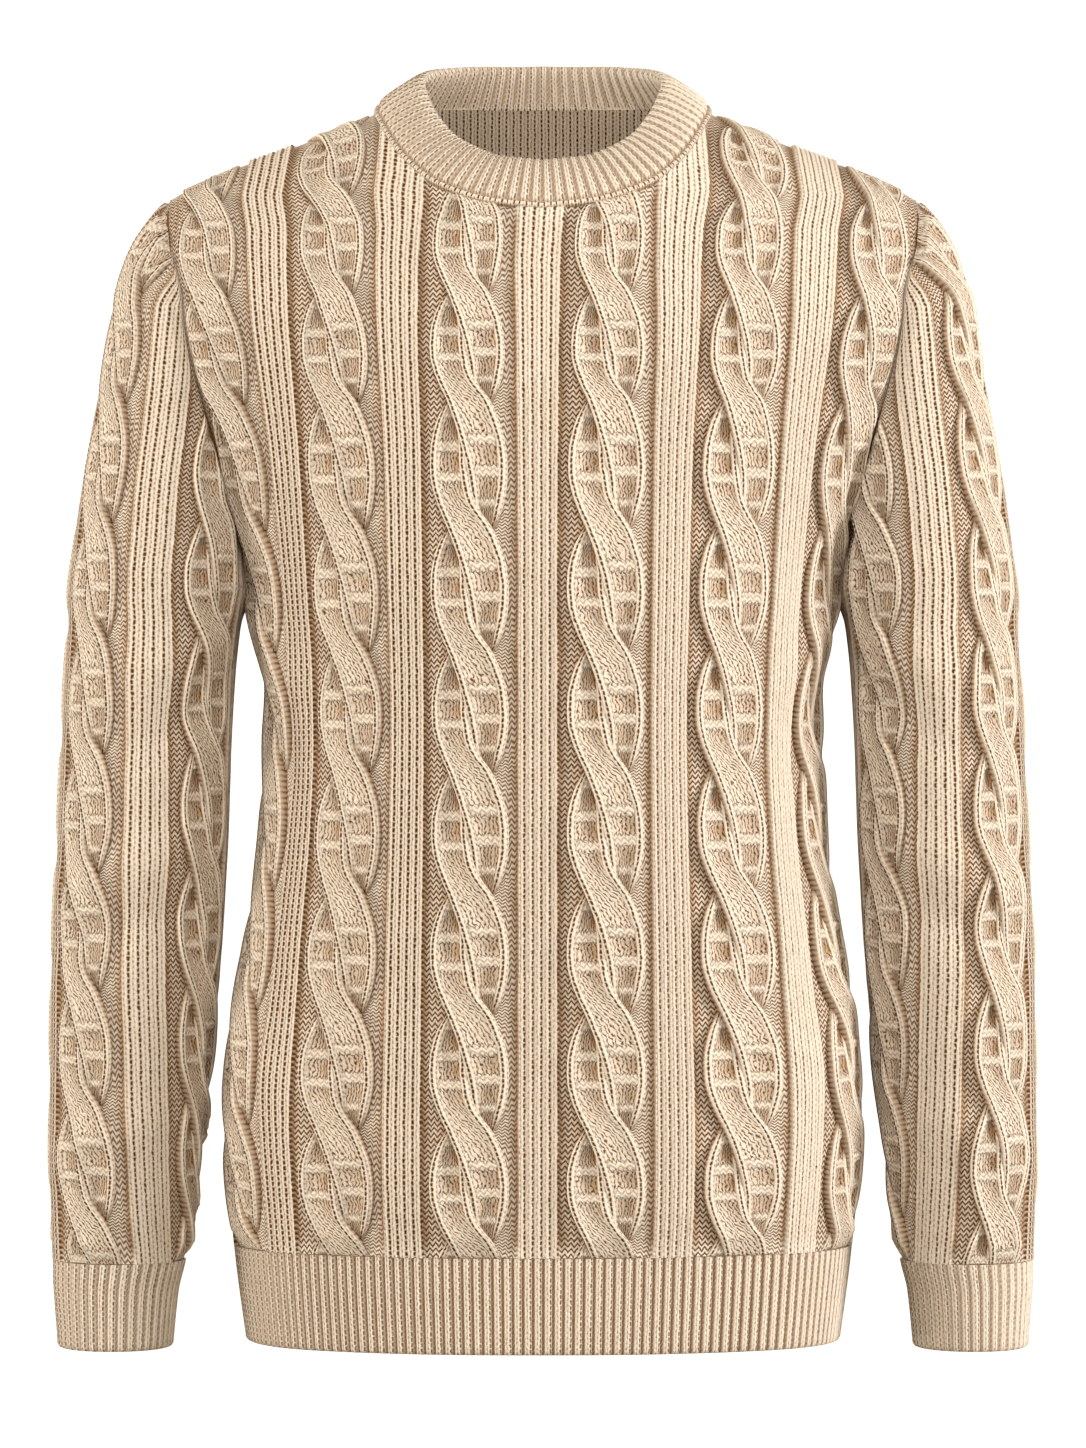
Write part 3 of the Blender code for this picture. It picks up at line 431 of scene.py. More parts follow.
def body_x(unit, z):
    """How far from the middle plane places across the pattern lie."""
    sections = [np.zeros_like(z), *(WALES.read(name, z) for name in WALES.names[1:])]
    x = np.sign(unit) * across(sections, unit, odd=True)
    middle = np.clip((LEAN_WITHIN - np.abs(unit)) / LEAN_BLEND, 0, 1)
    return x + LEAN * middle * np.clip((-40 - z) / 50, 0, 1)


def body_point(unit, z, back):
    """Points of the body's plain form at places across the pattern and heights."""
    x = body_x(unit, z)
    heights = np.append(DEPTHS.column("z"), (CHEST, CHEST + 30))
    sections = []
    for index, name in enumerate(DEPTHS.names[1:8]):
        at = np.full(1, index / 2)
        yoke = [yoke_depth(body_x(at, np.full(1, h)), h)[0] for h in heights[-2:]]
        depths = np.append(DEPTHS.column(name), yoke)
        sections.append(smooth(heights, depths, np.minimum(z, CHEST)))
    below = across(sections, unit, odd=False)
    y = np.where(z > CHEST, yoke_depth(x, z), below)
    if back:
        shares = np.append(DEPTHS.column("back"), (1.06, 1.04))
        y = y * smooth(heights, shares, np.minimum(z, CHEST + 30))
    return np.stack([x, y if back else -y, z], axis=-1)


def armhole_unit(z):
    """Where the armhole cuts the pattern at a height, in units from the middle."""
    return ARMHOLES.read("unit", np.clip(z, ARMPIT, float(shoulder_height(SHOULDER_X))))


def sleeve_row(z, edge_front, edge_back):
    """One row of the sleeve on the +X side, from its outer side round to the armhole."""
    centre, wide, deep, turn = (float(SLEEVES.read(name, z)) for name in SLEEVES.names[1:])
    angle = np.radians(np.linspace(0.0, min(turn, 180.0), 181))
    halves = []
    for sign, edge in ((-1.0, edge_front), (1.0, edge_back)):
        flat = (centre + wide * np.cos(angle), sign * deep * np.sin(angle))
        points = np.stack([*flat, np.full_like(angle, z)], axis=-1)
        if edge is not None:
            points += (edge - points[-1]) * (angle / angle[-1])[:, None] ** 2
        halves.append((lengths_along(points), points))
    return halves


# ---------------------------------------------------------------- a cloth's plain form
class Cloth:
    """A knitted piece's plain form: a fine net of points, with its places across the pattern.

    A place is in units from the middle; `ends` are the places of a row's two edges, and
    `hand` is 1 where places run to the right as seen from outside, -1 where they run to the
    left. The first rows of a sleeve, as many as `joined`, close on themselves."""

    def __init__(self, kind, points, ends, hand, heights):
        self.kind = kind
        self.points = points
        self.ends = ends
        self.hand = hand
        self.heights = heights
        self.rows = np.arange(len(heights), dtype=float)
        self.joined = int(np.sum(heights <= ARMPIT + 0.01)) if kind == "sleeve" else 0
        self.rib = PATTERN.read(kind + "_rib", heights)
        self.cable = PATTERN.read(kind + "_cable", heights)
        self.shift = np.zeros_like(heights)
        if kind == "sleeve":
            self.shift = PATTERN.read("sleeve_shift", heights)
        step = np.linalg.norm(np.diff(points, axis=0), axis=-1)
        self.lengths = np.concatenate([np.zeros((1, points.shape[1])), np.cumsum(step, 0)])
        self.set_normals()

    def set_normals(self):
        along = np.gradient(self.points, axis=0)
        over = np.gradient(self.points, axis=1)
        normal = np.cross(over, along) * self.hand
        length = np.linalg.norm(normal, axis=-1, keepdims=True)
        self.normals = normal / np.maximum(length, 1e-9)

    def edges_at(self, row):
        """The places of the two edges at a row, or between two."""
        return [np.interp(row, self.rows, edge) for edge in self.ends.T]

    def column_of(self, place, row):
        low, high = self.edges_at(row)
        share = np.where(place < 0, -place / low, place / high)
        return (np.clip(share, -1, 1) + 1) / 2 * (self.points.shape[1] - 1)

    def sample(self, net, place, row):
        """Reads a net of values between its points."""
        col = self.column_of(place, row)
        r = np.clip(np.floor(row).astype(int), 0, net.shape[0] - 2)
        c = np.clip(np.floor(col).astype(int), 0, net.shape[1] - 2)
        down = row - r
        side = col - c
        if net.ndim == 3:
            down = down[..., None]
            side = side[..., None]
        low = net[r, c] * (1 - side) + net[r, c + 1] * side
        high = net[r + 1, c] * (1 - side) + net[r + 1, c + 1] * side
        return low * (1 - down) + high * down

    def at(self, place, row, height):
        normal = self.sample(self.normals, place, row)
        normal /= np.linalg.norm(normal, axis=-1, keepdims=True)
        return self.sample(self.points, place, row) + normal * height[..., None]

    def turns_at(self, unit):
        """Cable crossings passed at each row, up the column at a unit of the pattern."""
        points = self.sample(self.points, unit + self.shift, self.rows)
        heights = CROSSINGS.column(self.kind)
        turn = np.interp(points[:, 2], heights, CROSSINGS.column("turn"))
        if self.kind == "body":
            first = int(np.argmax(self.heights > YOKE - 1))
            turn[first:] = turn[first] + lengths_along(points[first:]) / CROSSINGS_APART
        return turn

    def fold(self, folds):
        """Raises soft folds along the given lines on the cloth."""
        rows, columns = self.points.shape[:2]
        share = np.linspace(-1, 1, columns)[None, :]
        place = np.where(share < 0, -share * self.ends[:, :1], share * self.ends[:, 1:])
        z = self.points[..., 2]
        lift = np.zeros((rows, columns))
        for start, z_start, end, z_end, half, high in folds:
            over = (end - start) * REPEAT
            down = z_end - z_start
            side = (place - start) * REPEAT
            part = (side * over + (z - z_start) * down) / (over**2 + down**2)
            near = np.clip(part, 0, 1)
            away = np.hypot(side - near * over, z - z_start - near * down)
            fade = np.sin(np.pi * np.clip(near * 0.9 + 0.05, 0, 1)) ** 0.7
            lift += high * np.exp(-((away / half) ** 2)) * fade
        edge = np.minimum(np.arange(rows), rows - 1 - np.arange(rows)) / 8.0
        lift *= np.clip(edge, 0, 1)[:, None]
        lift *= np.clip((1 - np.abs(share)) / 0.06, 0, 1)
        self.points = self.points + self.normals * lift[..., None]
        self.set_normals()


def level_rows(low, high, step):
    """Heights from low to high, about a step apart."""
    return np.linspace(low, high, int(round((high - low) / step)) + 1)


def body_cloth(back):
    """The front's or the back's plain form, from the hem seam to the neck and shoulders."""
    share = np.linspace(-1, 1, BODY_POINTS)
    below = level_rows(HEM_TOP, YOKE, ROW_STEP)
    x_top = np.abs(body_x(share * SIDE, np.zeros_like(share)))
    neck = NECKS.read("back" if back else "front", x_top)
    top = np.where(x_top < NECK_X, neck, shoulder_height(x_top))
    even = np.clip((EVEN_WITHIN - x_top) / EVEN_BLEND, 0.0, 1.0)
    part = np.arange(1, YOKE_STEPS + 1)[:, None] / YOKE_STEPS
    steps = (1 - (1 - part) ** 2) * (1 - even) + part * even
    z = np.concatenate(
        [np.repeat(below[:, None], len(share), 1), YOKE + (top - YOKE) * steps]
    )
    limit = armhole_unit(z)
    unit = share * limit
    points = body_point(unit.ravel(), z.ravel(), back).reshape(*z.shape, 3)
    ends = np.stack([-limit[:, 0], limit[:, -1]], axis=-1)
    return Cloth("body", points, ends, -1.0 if back else 1.0, z[:, 0])


def sleeve_cloth(side):
    """A sleeve's plain form. side is 1 for the +X side, whose places run to the left."""
    tip = float(shoulder_height(SHOULDER_X))
    part = np.arange(1, 9) / 8 * SLEEVE_TOP
    tube = level_rows(CUFF_TOP, ARMPIT, ROW_STEP)
    opened = level_rows(ARMPIT, YOKE, ROW_STEP)[1:]
    heights = np.concatenate([tube, opened, YOKE + (tip - YOKE) * (1 - (1 - part) ** 2)])
    share = np.linspace(0, 1, SLEEVE_POINTS)
    rows = []
    ends = []
    for z in heights:
        edges = [None, None]
        if z >= ARMPIT:
            unit = armhole_unit(np.array([z]))
            edges = [body_point(unit, np.array([z]), back)[0] for back in (False, True)]
        (front_length, front), (back_length, back) = sleeve_row(z, *edges)
        halves = []
        for length, points in ((back_length, back), (front_length, front)):
            halves.append(points_at(points, length, share * length[-1]))
        rows.append(np.concatenate([halves[0][::-1], halves[1][1:]]))
        ends.append((-back_length[-1] / REPEAT, front_length[-1] / REPEAT))
    points = np.array(rows)
    points[..., 0] *= side
    return Cloth("sleeve", points, np.array(ends), -float(side), heights)


# ---------------------------------------------------------------- stitching a mesh
class Stitching:
    """Collects points and faces, with each corner's place in stitches and kind of stitch."""

    def __init__(self):
        self.points = []
        self.count = 0
        self.faces = {3: [], 4: []}
        self.places = {3: [], 4: []}
        self.kinds = {3: [], 4: []}

    def add_points(self, points):
        points = points.reshape(-1, 3)
        start = self.count
        self.points.append(points)
        self.count += len(points)
        return start

    def add_faces(self, corners, places, kinds):
        corners = np.asarray(corners)
        size = corners.shape[1]
        self.faces[size].append(corners)
        self.places[size].append(np.broadcast_to(places, (*corners.shape, 2)))
        self.kinds[size].append(np.broadcast_to(kinds, (*corners.shape, 4)))

    def add_grid(self, ids, places, kinds, turned):
        """Quads over a grid of point numbers."""
        corners = [(0, 0), (0, 1), (1, 1), (1, 0)]
        if turned:
            corners = corners[::-1]
        rows, columns = ids.shape

        def picked(values):
            parts = [
                values[r : rows - 1 + r, c : columns - 1 + c].reshape(
                    (rows - 1) * (columns - 1), -1
                )
                for r, c in corners
            ]
            return np.stack(parts, axis=1)

        self.add_faces(picked(ids)[..., 0], picked(places), picked(kinds))

    def add_strip(self, fine, coarse, kept, turned):
        """Joins a fine edge to a coarse one that starts and ends beside the same points."""
        faces = []
        for number in range(len(kept) - 1):
            first, last = kept[number], kept[number + 1]
            middle = (first + last) // 2
            for step in range(first, middle):
                faces.append((fine[step], fine[step + 1], coarse[number]))
            faces.append((fine[middle], coarse[number + 1], coarse[number]))
            for step in range(middle, last):
                faces.append((fine[step], fine[step + 1], coarse[number + 1]))
        faces = np.array(faces)
        self.add_faces(faces[:, ::-1] if turned else faces, LEG, PLAIN)

    def make(self, name, material):
        mesh = bpy.data.meshes.new(name)
        points = np.concatenate(self.points) / 1000
        sizes = [size for size in (3, 4) if self.faces[size]]
        faces = [np.concatenate(self.faces[size]) for size in sizes]
        places = [np.concatenate(self.places[size]).reshape(-1, 2) for size in sizes]
        kinds = [np.concatenate(self.kinds[size]).reshape(-1, 4) for size in sizes]
        totals = np.concatenate([np.full(len(f), f.shape[1]) for f in faces])
        mesh.vertices.add(len(points))
        mesh.vertices.foreach_set("co", points.ravel())
        mesh.loops.add(int(totals.sum()))
        mesh.loops.foreach_set("vertex_index", np.concatenate([f.ravel() for f in faces]))
        mesh.polygons.add(len(totals))
        mesh.polygons.foreach_set("loop_start", np.cumsum(totals) - totals)
        mesh.update(calc_edges=True)
        layer = mesh.uv_layers.new(name="stitches")
        layer.data.foreach_set("uv", np.concatenate(places).ravel())
        kind = mesh.color_attributes.new(name="kind", type="FLOAT_COLOR", domain="CORNER")
        kind.data.foreach_set("color", np.concatenate(kinds).ravel())
        mesh.validate()
        mesh.shade_smooth()
        mesh.set_sharp_from_angle(angle=SHARP_FROM)
        mesh.materials.append(material)
        piece = bpy.data.objects.new(name, mesh)
        bpy.context.scene.collection.objects.link(piece)
        return piece


def numbered(rows, columns, start, joined):
    """Point numbers of a grid whose first rows, up to joined, close on themselves."""
    ids = np.zeros((rows, columns), int)
    for row in range(rows):
        count = columns - 1 if row < joined else columns
        ids[row, :count] = start + np.arange(count)
        if count < columns:
            ids[row, -1] = start
        start += count
    return ids, start


def stitch_walls(
    work, outer, inner, places, inside_places, kinds, keep_rows, keep_columns, joined, turned
):
    """A fine outer face, a plain inner face at the kept rows and columns, and the edges."""
    outer_ids, start = numbered(*outer.shape[:2], work.count, joined)
    inside = inner[np.ix_(keep_rows, keep_columns)]
    joined_inside = sum(1 for row in keep_rows if row < joined)
    inner_ids, total = numbered(*inside.shape[:2], start, joined_inside)
    points = np.zeros((total - work.count, 3))
    points[outer_ids - work.count] = outer
    points[inner_ids - work.count] = inside
    work.add_points(points)
    work.add_grid(outer_ids, places, kinds, turned)
    plain = np.broadcast_to(INSIDE_KIND, (*inside.shape[:2], 4))
    work.add_grid(inner_ids, inside_places[np.ix_(keep_rows, keep_columns)], plain, not turned)
    work.add_strip(outer_ids[0], inner_ids[0], keep_columns, not turned)
    work.add_strip(outer_ids[-1], inner_ids[-1], keep_columns, turned)
    if joined < outer.shape[0]:
        low = max(joined - 1, 0)
        rows_kept = [row for row in keep_rows if row >= low]
        shifted = [row - low for row in rows_kept]
        first = inner_ids.shape[0] - len(rows_kept)
        left = (outer_ids[low:, 0], inner_ids[first:, 0])
        right = (outer_ids[low:, -1], inner_ids[first:, -1])
        work.add_strip(*left, shifted, turned)
        work.add_strip(*right, shifted, not turned)


def kept(count, step, also=()):
    """Numbers of the rows or columns that the inside keeps: first, last and every step."""
    return sorted({0, count - 1, *range(0, count, step), *also})


# ---------------------------------------------------------------- ribs, purl ground, cables
def cable_edges(turn):
    """Left and right edge of a cable, from its middle, at a place up its length."""
    part = turn % 1.0
    left = np.maximum(STRAND.read("left", 1 - part) - CORD_HALF, -CABLE_HALF_MOST)
    right = np.maximum(STRAND.read("right", 2 - part), STRAND.read("right", 1 - part))
    return left, right + CORD_HALF


def ground_columns():
    """Columns of points across the ground: (rib or cable centre, share, kind, step). The
    share is of a rib's half width, or of the way across a gap or under a cable."""
    steps = RIB_WALES * 4
    columns = []
    for rib in range(-4, 5):
        for step in range(steps + 1):
            columns.append((float(rib), 2 * step / steps - 1, "rib", step))
        columns += [(rib + 0.5, share, "left", 0) for share in GAP_SHARES]
        columns += [(rib + 0.5, share, "under", 0) for share in UNDER_SHARES]
        columns += [(rib + 0.5, share, "right", 0) for share in (0.0, *GAP_SHARES[:-1])]
    return columns


def ground_place(spec, turn, cloth, sizes):
    """Where a column of points lies, in units, and how far it is from its rib, in
    millimetres."""
    centre, share, kind, _ = spec
    unit = sizes.unit * 1000
    rib = RIB_WALES * sizes.wale * 500 * cloth.rib
    if kind == "rib":
        return centre + share * rib / unit, np.zeros_like(turn)
    edge = unit / 2 - rib
    left, right = (side * cloth.cable for side in cable_edges(turn))
    if cloth.hand < 0:
        left, right = -right, -left
    low = {"left": -edge, "under": left, "right": right}[kind]
    high = {"left": left, "under": right, "right": edge}[kind]
    over = low + (high - low) * share
    return centre + over / unit, edge - np.abs(over)


def ground_height(spec, hand, sizes):
    """Height over the plain wall, kind of stitch, and place across a rib in stitches."""
    _, share, kind, step = spec
    if kind == "rib":
        high = sizes.rib_rise * 1000 * (RIB_FOOT + (1 - RIB_FOOT) * LEG_HEIGHTS[step % 4])
        if step in (0, RIB_WALES * 4):
            return RIB_EDGE_LOW, RIB_EDGE, step / 4.0
        return high, RIB_KIND, step / 4.0
    if kind == "under":
        return UNDER_LOW, UNDER_KIND, RIB_WALES
    from_rib = share if kind == "left" else 1 - share
    side = "fanned" if fanned(spec, hand) else "rising"
    shade = GROUND_SHADES.read(side, from_rib)
    purl = 1.0 - FANNED_PALER * (side == "fanned") * float(np.clip(from_rib / 0.4, 0, 1))
    wale = RIB_WALES if kind == "left" else 0.0
    return GROUND_LOW, (0.0, purl, 0.0, float(shade)), wale


def fanned(spec, hand):
    """Whether a gap is the one where each strand goes back down."""
    return spec[2] == ("right" if hand > 0 else "left")


def seam_fade(cloth, place, row, reach):
    """Falls to nothing at a row's two edges, where the stitches are taken into a seam."""
    low, high = cloth.edges_at(row)
    away = np.minimum(place - low, high - place) * REPEAT
    return np.clip(away / reach, 0.0, 1.0)


def drawn_together(places, ends, kept_share):
    """Columns past a seam are drawn together inside it, and the rest stay where they are."""
    limit = np.where(places < 0, -ends[:, 0], ends[:, 1])
    over = np.abs(places)
    kept_place = limit - kept_share
    squeezed = kept_place + kept_share * (1 - np.exp(-(over - kept_place) / kept_share))
    return np.sign(places) * np.where(over > kept_place, squeezed, over)


def knit_ground(work, cloth, sizes):
    """The ribs and the purl ground of one piece, with its plain inside."""
    unit = sizes.unit * 1000
    specs = []
    for spec in ground_columns():
        turn = cloth.turns_at(spec[0])
        place, from_rib = ground_place(spec, turn, cloth, sizes)
        specs.append((place + cloth.shift, from_rib, spec, turn))
    widest = int(np.argmax(cloth.ends[:, 1] - cloth.ends[:, 0]))
    low, high = cloth.ends[widest] + (0.02, -0.02)
    specs = [s for s in specs if low < s[0][widest] < high]
    specs.sort(key=lambda s: s[0][widest])
    net = (len(cloth.rows), len(specs) + 2)
    place = np.zeros(net)
    height = np.zeros(net)
    stitch = np.zeros((*net, 2))
    kinds = np.zeros((*net, 4))
    place[:, 0], place[:, -1] = cloth.ends[:, 0], cloth.ends[:, 1]
    for index, (at, from_rib, spec, _) in enumerate(specs, start=1):
        place[:, index] = drawn_together(at, cloth.ends, GROUND_DRAWN)
        high, colour, wale = ground_height(spec, cloth.hand, sizes)
        height[:, index] = high
        stitch[:, index, 0] = wale + from_rib / GROUND_WALE
        kinds[:, index] = colour
        if cloth.kind == "body" and spec[2] == "rib" and abs(spec[0]) == SIDE:
            lost = np.clip((cloth.heights - ARMPIT) / ARMHOLE_FADE, 0.0, 1.0)
            height[:, index] += (-0.5 - high) * lost
            kinds[:, index] += (np.array(ARMHOLE_KIND) - colour) * lost[:, None]
    stitch[:, 0] = stitch[:, 1]
    stitch[:, -1] = stitch[:, -2]
    kinds[:, 0] = kinds[:, 1]
    kinds[:, -1] = kinds[:, -2]
    row = np.repeat(cloth.rows[:, None], net[1], 1)
    length = cloth.sample(cloth.lengths, place, row)
    up = length / (sizes.row * 1000)
    stitch[..., 1] = up
    # Where the rows fan out beside a crossing, their painted shade is lightened by up to half.
    for index, (_, _, spec, turn) in enumerate(specs, start=1):
        if not fanned(spec, cloth.hand):
            continue
        away = ((turn + 0.5) % 1.0 - 0.5) * ROWS_IN_REPEAT
        near_cable = 1 - (spec[1] if spec[2] == "right" else 1 - spec[1])
        fan = near_cable * np.exp(-((away / FAN_ROWS) ** 2))
        stitch[:, index, 1] += FAN_SLANT * away * fan
        kinds[:, index, 3] *= 1 - 0.5 * fan
    # The painted shade of the hollows lessens towards the foot and the top, the relief sinks
    # near the side seams, and the wall thins where the cloth runs to a point.
    ends = np.minimum(length, length[-1:] - length)
    kinds[..., 3] *= np.clip((ends - 1.0) / 9.0, 0.15, 1.0)
    height *= seam_fade(cloth, place, row, GROUND_FADE)
    outer = cloth.at(place, row, height)
    girth = (cloth.ends[:, 1:] - cloth.ends[:, :1]) * unit
    thin = np.clip(girth / 30.0, 0.1, 1.0)
    inner = cloth.at(place, row, -sizes.wall * 1000 * thin * np.ones_like(height))
    joined = cloth.joined
    for points in (outer, inner):
        middle = (points[:joined, 0] + points[:joined, -1]) / 2
        points[:joined, 0] = points[:joined, -1] = middle
    inside = np.stack([place * unit / INSIDE_WALE, up], axis=-1)
    keep_rows = kept(net[0], INSIDE_EVERY[0], (joined - 1,) if joined else ())
    keep_columns = kept(net[1], INSIDE_EVERY[1])
    turned = cloth.hand < 0
    stitch_walls(
        work, outer, inner, stitch, inside, kinds, keep_rows, keep_columns, joined, turned
    )


def strand_section(turn):
    """Points across a strand at places down its length, and how they are knitted: across and
    height in millimetres, then each band of stitches as (first and last column, place across
    in stitches, kinds)."""
    turn = turn[:, None]
    left, right, left_high, right_high, sunk, dim_left, dim_right, slant = (
        STRAND.read(name, turn) for name in STRAND.names[1:]
    )
    cord_share, cord_fall, cord_shade = np.transpose(CORD_SECTION)
    share, depth, bump = np.transpose(FILL_SECTION)
    bar = np.zeros_like(turn)
    for start, end in BARS:
        edges = (start - BAR_BLEND, start, end, end + BAR_BLEND)
        bar = np.maximum(bar, np.interp(turn, edges, (0, 1, 1, 0)))
    # The edge columns narrow where the strand goes under the other one.
    half = CORD_HALF * np.clip(0.55 + turn * 3, 0, 1) * np.clip(0.55 + (2 - turn) * 3, 0, 1)
    fill_over = left + half + (right - left - 2 * half) * share
    over = (left + cord_share * half, fill_over, (right - cord_share * half)[:, ::-1])
    level = left_high * (1 - share) + right_high * share
    fill_high = level + depth * np.maximum(sunk - BAR_RISE * bar, 0.4) + bump * bar
    high = (left_high + cord_fall, fill_high, (right_high + cord_fall)[:, ::-1])
    dipped = np.clip(1 - turn / UNDER_TURN, 0, 1)
    dipped = dipped + np.clip((turn - 2 + UNDER_TURN) / UNDER_TURN, 0, 1)
    cord_kinds = np.zeros((len(turn), 5, 4)) + PLAIN
    # An edge column takes deeper painted shade where it dips under the other strand.
    cord_kinds[..., 3] = cord_shade + 0.5 * dipped
    cord_wales = cord_share / 2 + 0 * turn
    shares = np.array((0.0, *share, 1.0))
    fill_kinds = np.zeros((len(turn), 7, 4))
    fill_kinds[..., 1] = BAR_PURL * bar
    fill_kinds[..., 2] = 1 - bar
    # The filling's painted shade runs from its left to its right, and the bars lose most of it.
    dim = dim_left + (dim_right - dim_left) * shares**SHADE_CURVE
    fill_kinds[..., 3] = dim * (1 - BAR_PALER * bar)
    bands = (
        (0, 4, cord_wales, cord_kinds),
        (4, 10, FILL_WALES * shares - slant, fill_kinds),
        (10, 14, cord_wales, cord_kinds[:, ::-1]),
    )
    return np.concatenate(over, axis=1), np.concatenate(high, axis=1), bands


def end_fade(cloth, place, row):
    """Falls towards the foot and the top of a piece, where its cables are taken in."""
    length = cloth.sample(cloth.lengths, place, row)
    above = cloth.sample(cloth.lengths, place, np.full_like(row, cloth.rows[-1])) - length
    points = cloth.sample(cloth.points, place, row)
    shoulder = (np.abs(points[..., 0]) > UNDER_SHOULDER) | (cloth.kind == "sleeve")
    at_top = [np.where(shoulder, *pair) for pair in zip(SINK_AT_SHOULDER, SINK_AT_NECK)]
    fade = 1.0
    for away, (reach, least) in ((above, at_top), (length, SINK_AT_FOOT)):
        fade = fade * (least + (1 - least) * np.clip(away / reach, 0, 1) ** SINK_CURVE)
    return fade


def knit_cable(work, cloth, centre, sizes):
    """The strands of one cable, each from one crossing's underside to the next but one."""
    turns = cloth.turns_at(centre)
    steps = np.linspace(0.0, 2.0, STRAND_STEPS + 1)
    # The faces under a strand and its end caps: plain stitches in some painted shade, and purl ones in
    # deeper painted shade.
    side = np.array(((1.0, 0.0, 0.0, 0.3), (0.0, 1.0, 0.0, 0.7)))
    for crossing in range(-1, 12):
        up = crossing + 1 - steps
        row = np.interp(up, turns, cloth.rows)
        middle = centre + np.interp(row, cloth.rows, cloth.shift)
        ends = np.stack(cloth.edges_at(row), axis=-1)
        inside = (up > turns[0] - steps[1]) & (up < turns[-1] + steps[1])
        inside &= np.abs(middle) - CABLE_REACH < np.abs(ends[:, int(centre > 0)])
        if inside.sum() < 4:
            continue
        turn, row, middle, ends = (part[inside] for part in (steps, row, middle, ends))
        over, high, bands = strand_section(turn)
        over *= np.interp(row, cloth.rows, cloth.cable)[:, None]
        at = middle[:, None] + cloth.hand * over / (sizes.unit * 1000)
        row = np.repeat(row[:, None], at.shape[1], 1)
        fade = seam_fade(cloth, at, row, CABLE_FADE)
        at = np.stack([drawn_together(a, ends, CABLE_DRAWN) for a in at.T], axis=1)
        fade *= end_fade(cloth, at, row)
        high = high * sizes.cable_rise * 1000 / STRAND_HIGH * fade - (1 - fade) * 0.5
        points = cloth.at(at, row, high)
        under = cloth.at(at[:, (0, -1)], row[:, (0, -1)], np.full((len(turn), 2), -0.9))
        ring = np.concatenate([points, under[:, ::-1]], axis=1)
        width = ring.shape[1]
        start = work.add_points(ring)
        ids = start + np.arange(len(turn))[:, None] * width + np.arange(width)[None, :]
        down = turn * ROWS_IN_REPEAT
        for first, last, wales, kinds in bands:
            places = np.stack([wales, np.repeat(down[:, None], wales.shape[1], 1)], -1)
            work.add_grid(ids[:, first : last + 1], places, kinds, True)
        lower = np.concatenate([ids[:, 14:], ids[:, :1]], axis=1)
        places = np.stack([np.full(lower.shape, LEG[0]), np.repeat(down[:, None], 4, 1)], -1)
        kinds = np.broadcast_to(side[[0, 1, 1, 0]], (*lower.shape, 4))
        work.add_grid(lower, places, kinds, True)
        for edge, way in ((ids[0], -1), (ids[-1], 1)):
            faces = np.array([(edge[0], edge[n + 1], edge[n]) for n in range(1, width - 1)])
            work.add_faces(faces[:, ::way], LEG, side[0])


# ---------------------------------------------------------------- ribbed bands
def closed_loop(points, count):
    """Points evenly spaced round a closed line, starting at its first point."""
    loop = np.concatenate([points, points[:1]])
    length = lengths_along(loop)
    return points_at(loop, length, np.arange(count) / count * length[-1])


def closed(net, axis=1):
    """A net with its first line of values once more after its last."""
    return np.concatenate([net, np.take(net, [0], axis)], axis)


def rib_columns(ribs):
    """For each column of points round a band: how many ribs round, rise, place in stitches and
    kind of stitch."""
    share, rise, wale, kinds = zip(*RIB_SECTION)
    rib = np.repeat(np.arange(ribs), len(share))
    place = np.tile(share, ribs) + rib
    return place, np.tile(rise, ribs), np.tile(wale, ribs) + 2 * rib, np.tile(kinds, (ribs, 1))


def knit_band(work, ring, low, high, ribs, sizes, shade):
    """A tube of knit one, purl one ribs between two heights, with a rounded lower edge. ring
    gives the points round the band at a height, and shade is how deep the painted shade
    between the ribs is."""
    place, rise, wale, kinds = rib_columns(ribs)
    rows = [(low + 0.7, -BAND_WALL * 0.75, 0.0), (low, -BAND_WALL * 0.3, 0.3)]
    rows += [(low + 0.5, -0.5, 0.8)]
    rows += [(z, 0.0, 1.0) for z in level_rows(low + 2.0, high, 2.9)]
    outer = []
    inner = []
    for z, off, part in rows:
        points = ring(z, place / ribs)
        along = np.roll(points, -1, axis=0) - np.roll(points, 1, axis=0)
        out = np.stack([along[:, 1], -along[:, 0], np.zeros(len(rise))], axis=-1)
        out /= np.linalg.norm(out, axis=-1, keepdims=True)
        height = off + rise * sizes.band_rise * 1000 * part
        outer.append(points + out * height[:, None])
        inner.append(points - out * BAND_WALL)
    outer = np.array(outer)
    inner = np.array(inner)
    inner[0, :, 2] += 0.8
    up = outer[:, :, 2] / (sizes.row * 1000)
    places = np.stack([np.broadcast_to(wale, up.shape), up], axis=-1)
    kinds = np.broadcast_to(kinds * (1.0, 1.0, 1.0, shade), (*up.shape, 4))
    outer, inner, places, kinds = (closed(net) for net in (outer, inner, places, kinds))
    places[:, -1, 0] += ribs * 2
    keep_rows = kept(len(rows), BAND_INSIDE_EVERY[0])
    keep_columns = kept(len(rise) + 1, BAND_INSIDE_EVERY[1])
    stitch_walls(
        work, outer, inner, places, places, kinds, keep_rows, keep_columns, len(rows), False
    )


def neck_edge():
    """The neck edge of the front and the back, all round from centre back's left."""
    parts = []
    for back in (False, True):
        cloth = body_cloth(back)
        points = cloth.points[-1]
        line = np.concatenate([points, cloth.normals[-1]], axis=-1)
        line = line[np.abs(points[:, 0]) < NECK_X + GAP]
        parts.append(line[::-1][1:-1] if back else line)
    return np.concatenate(parts)


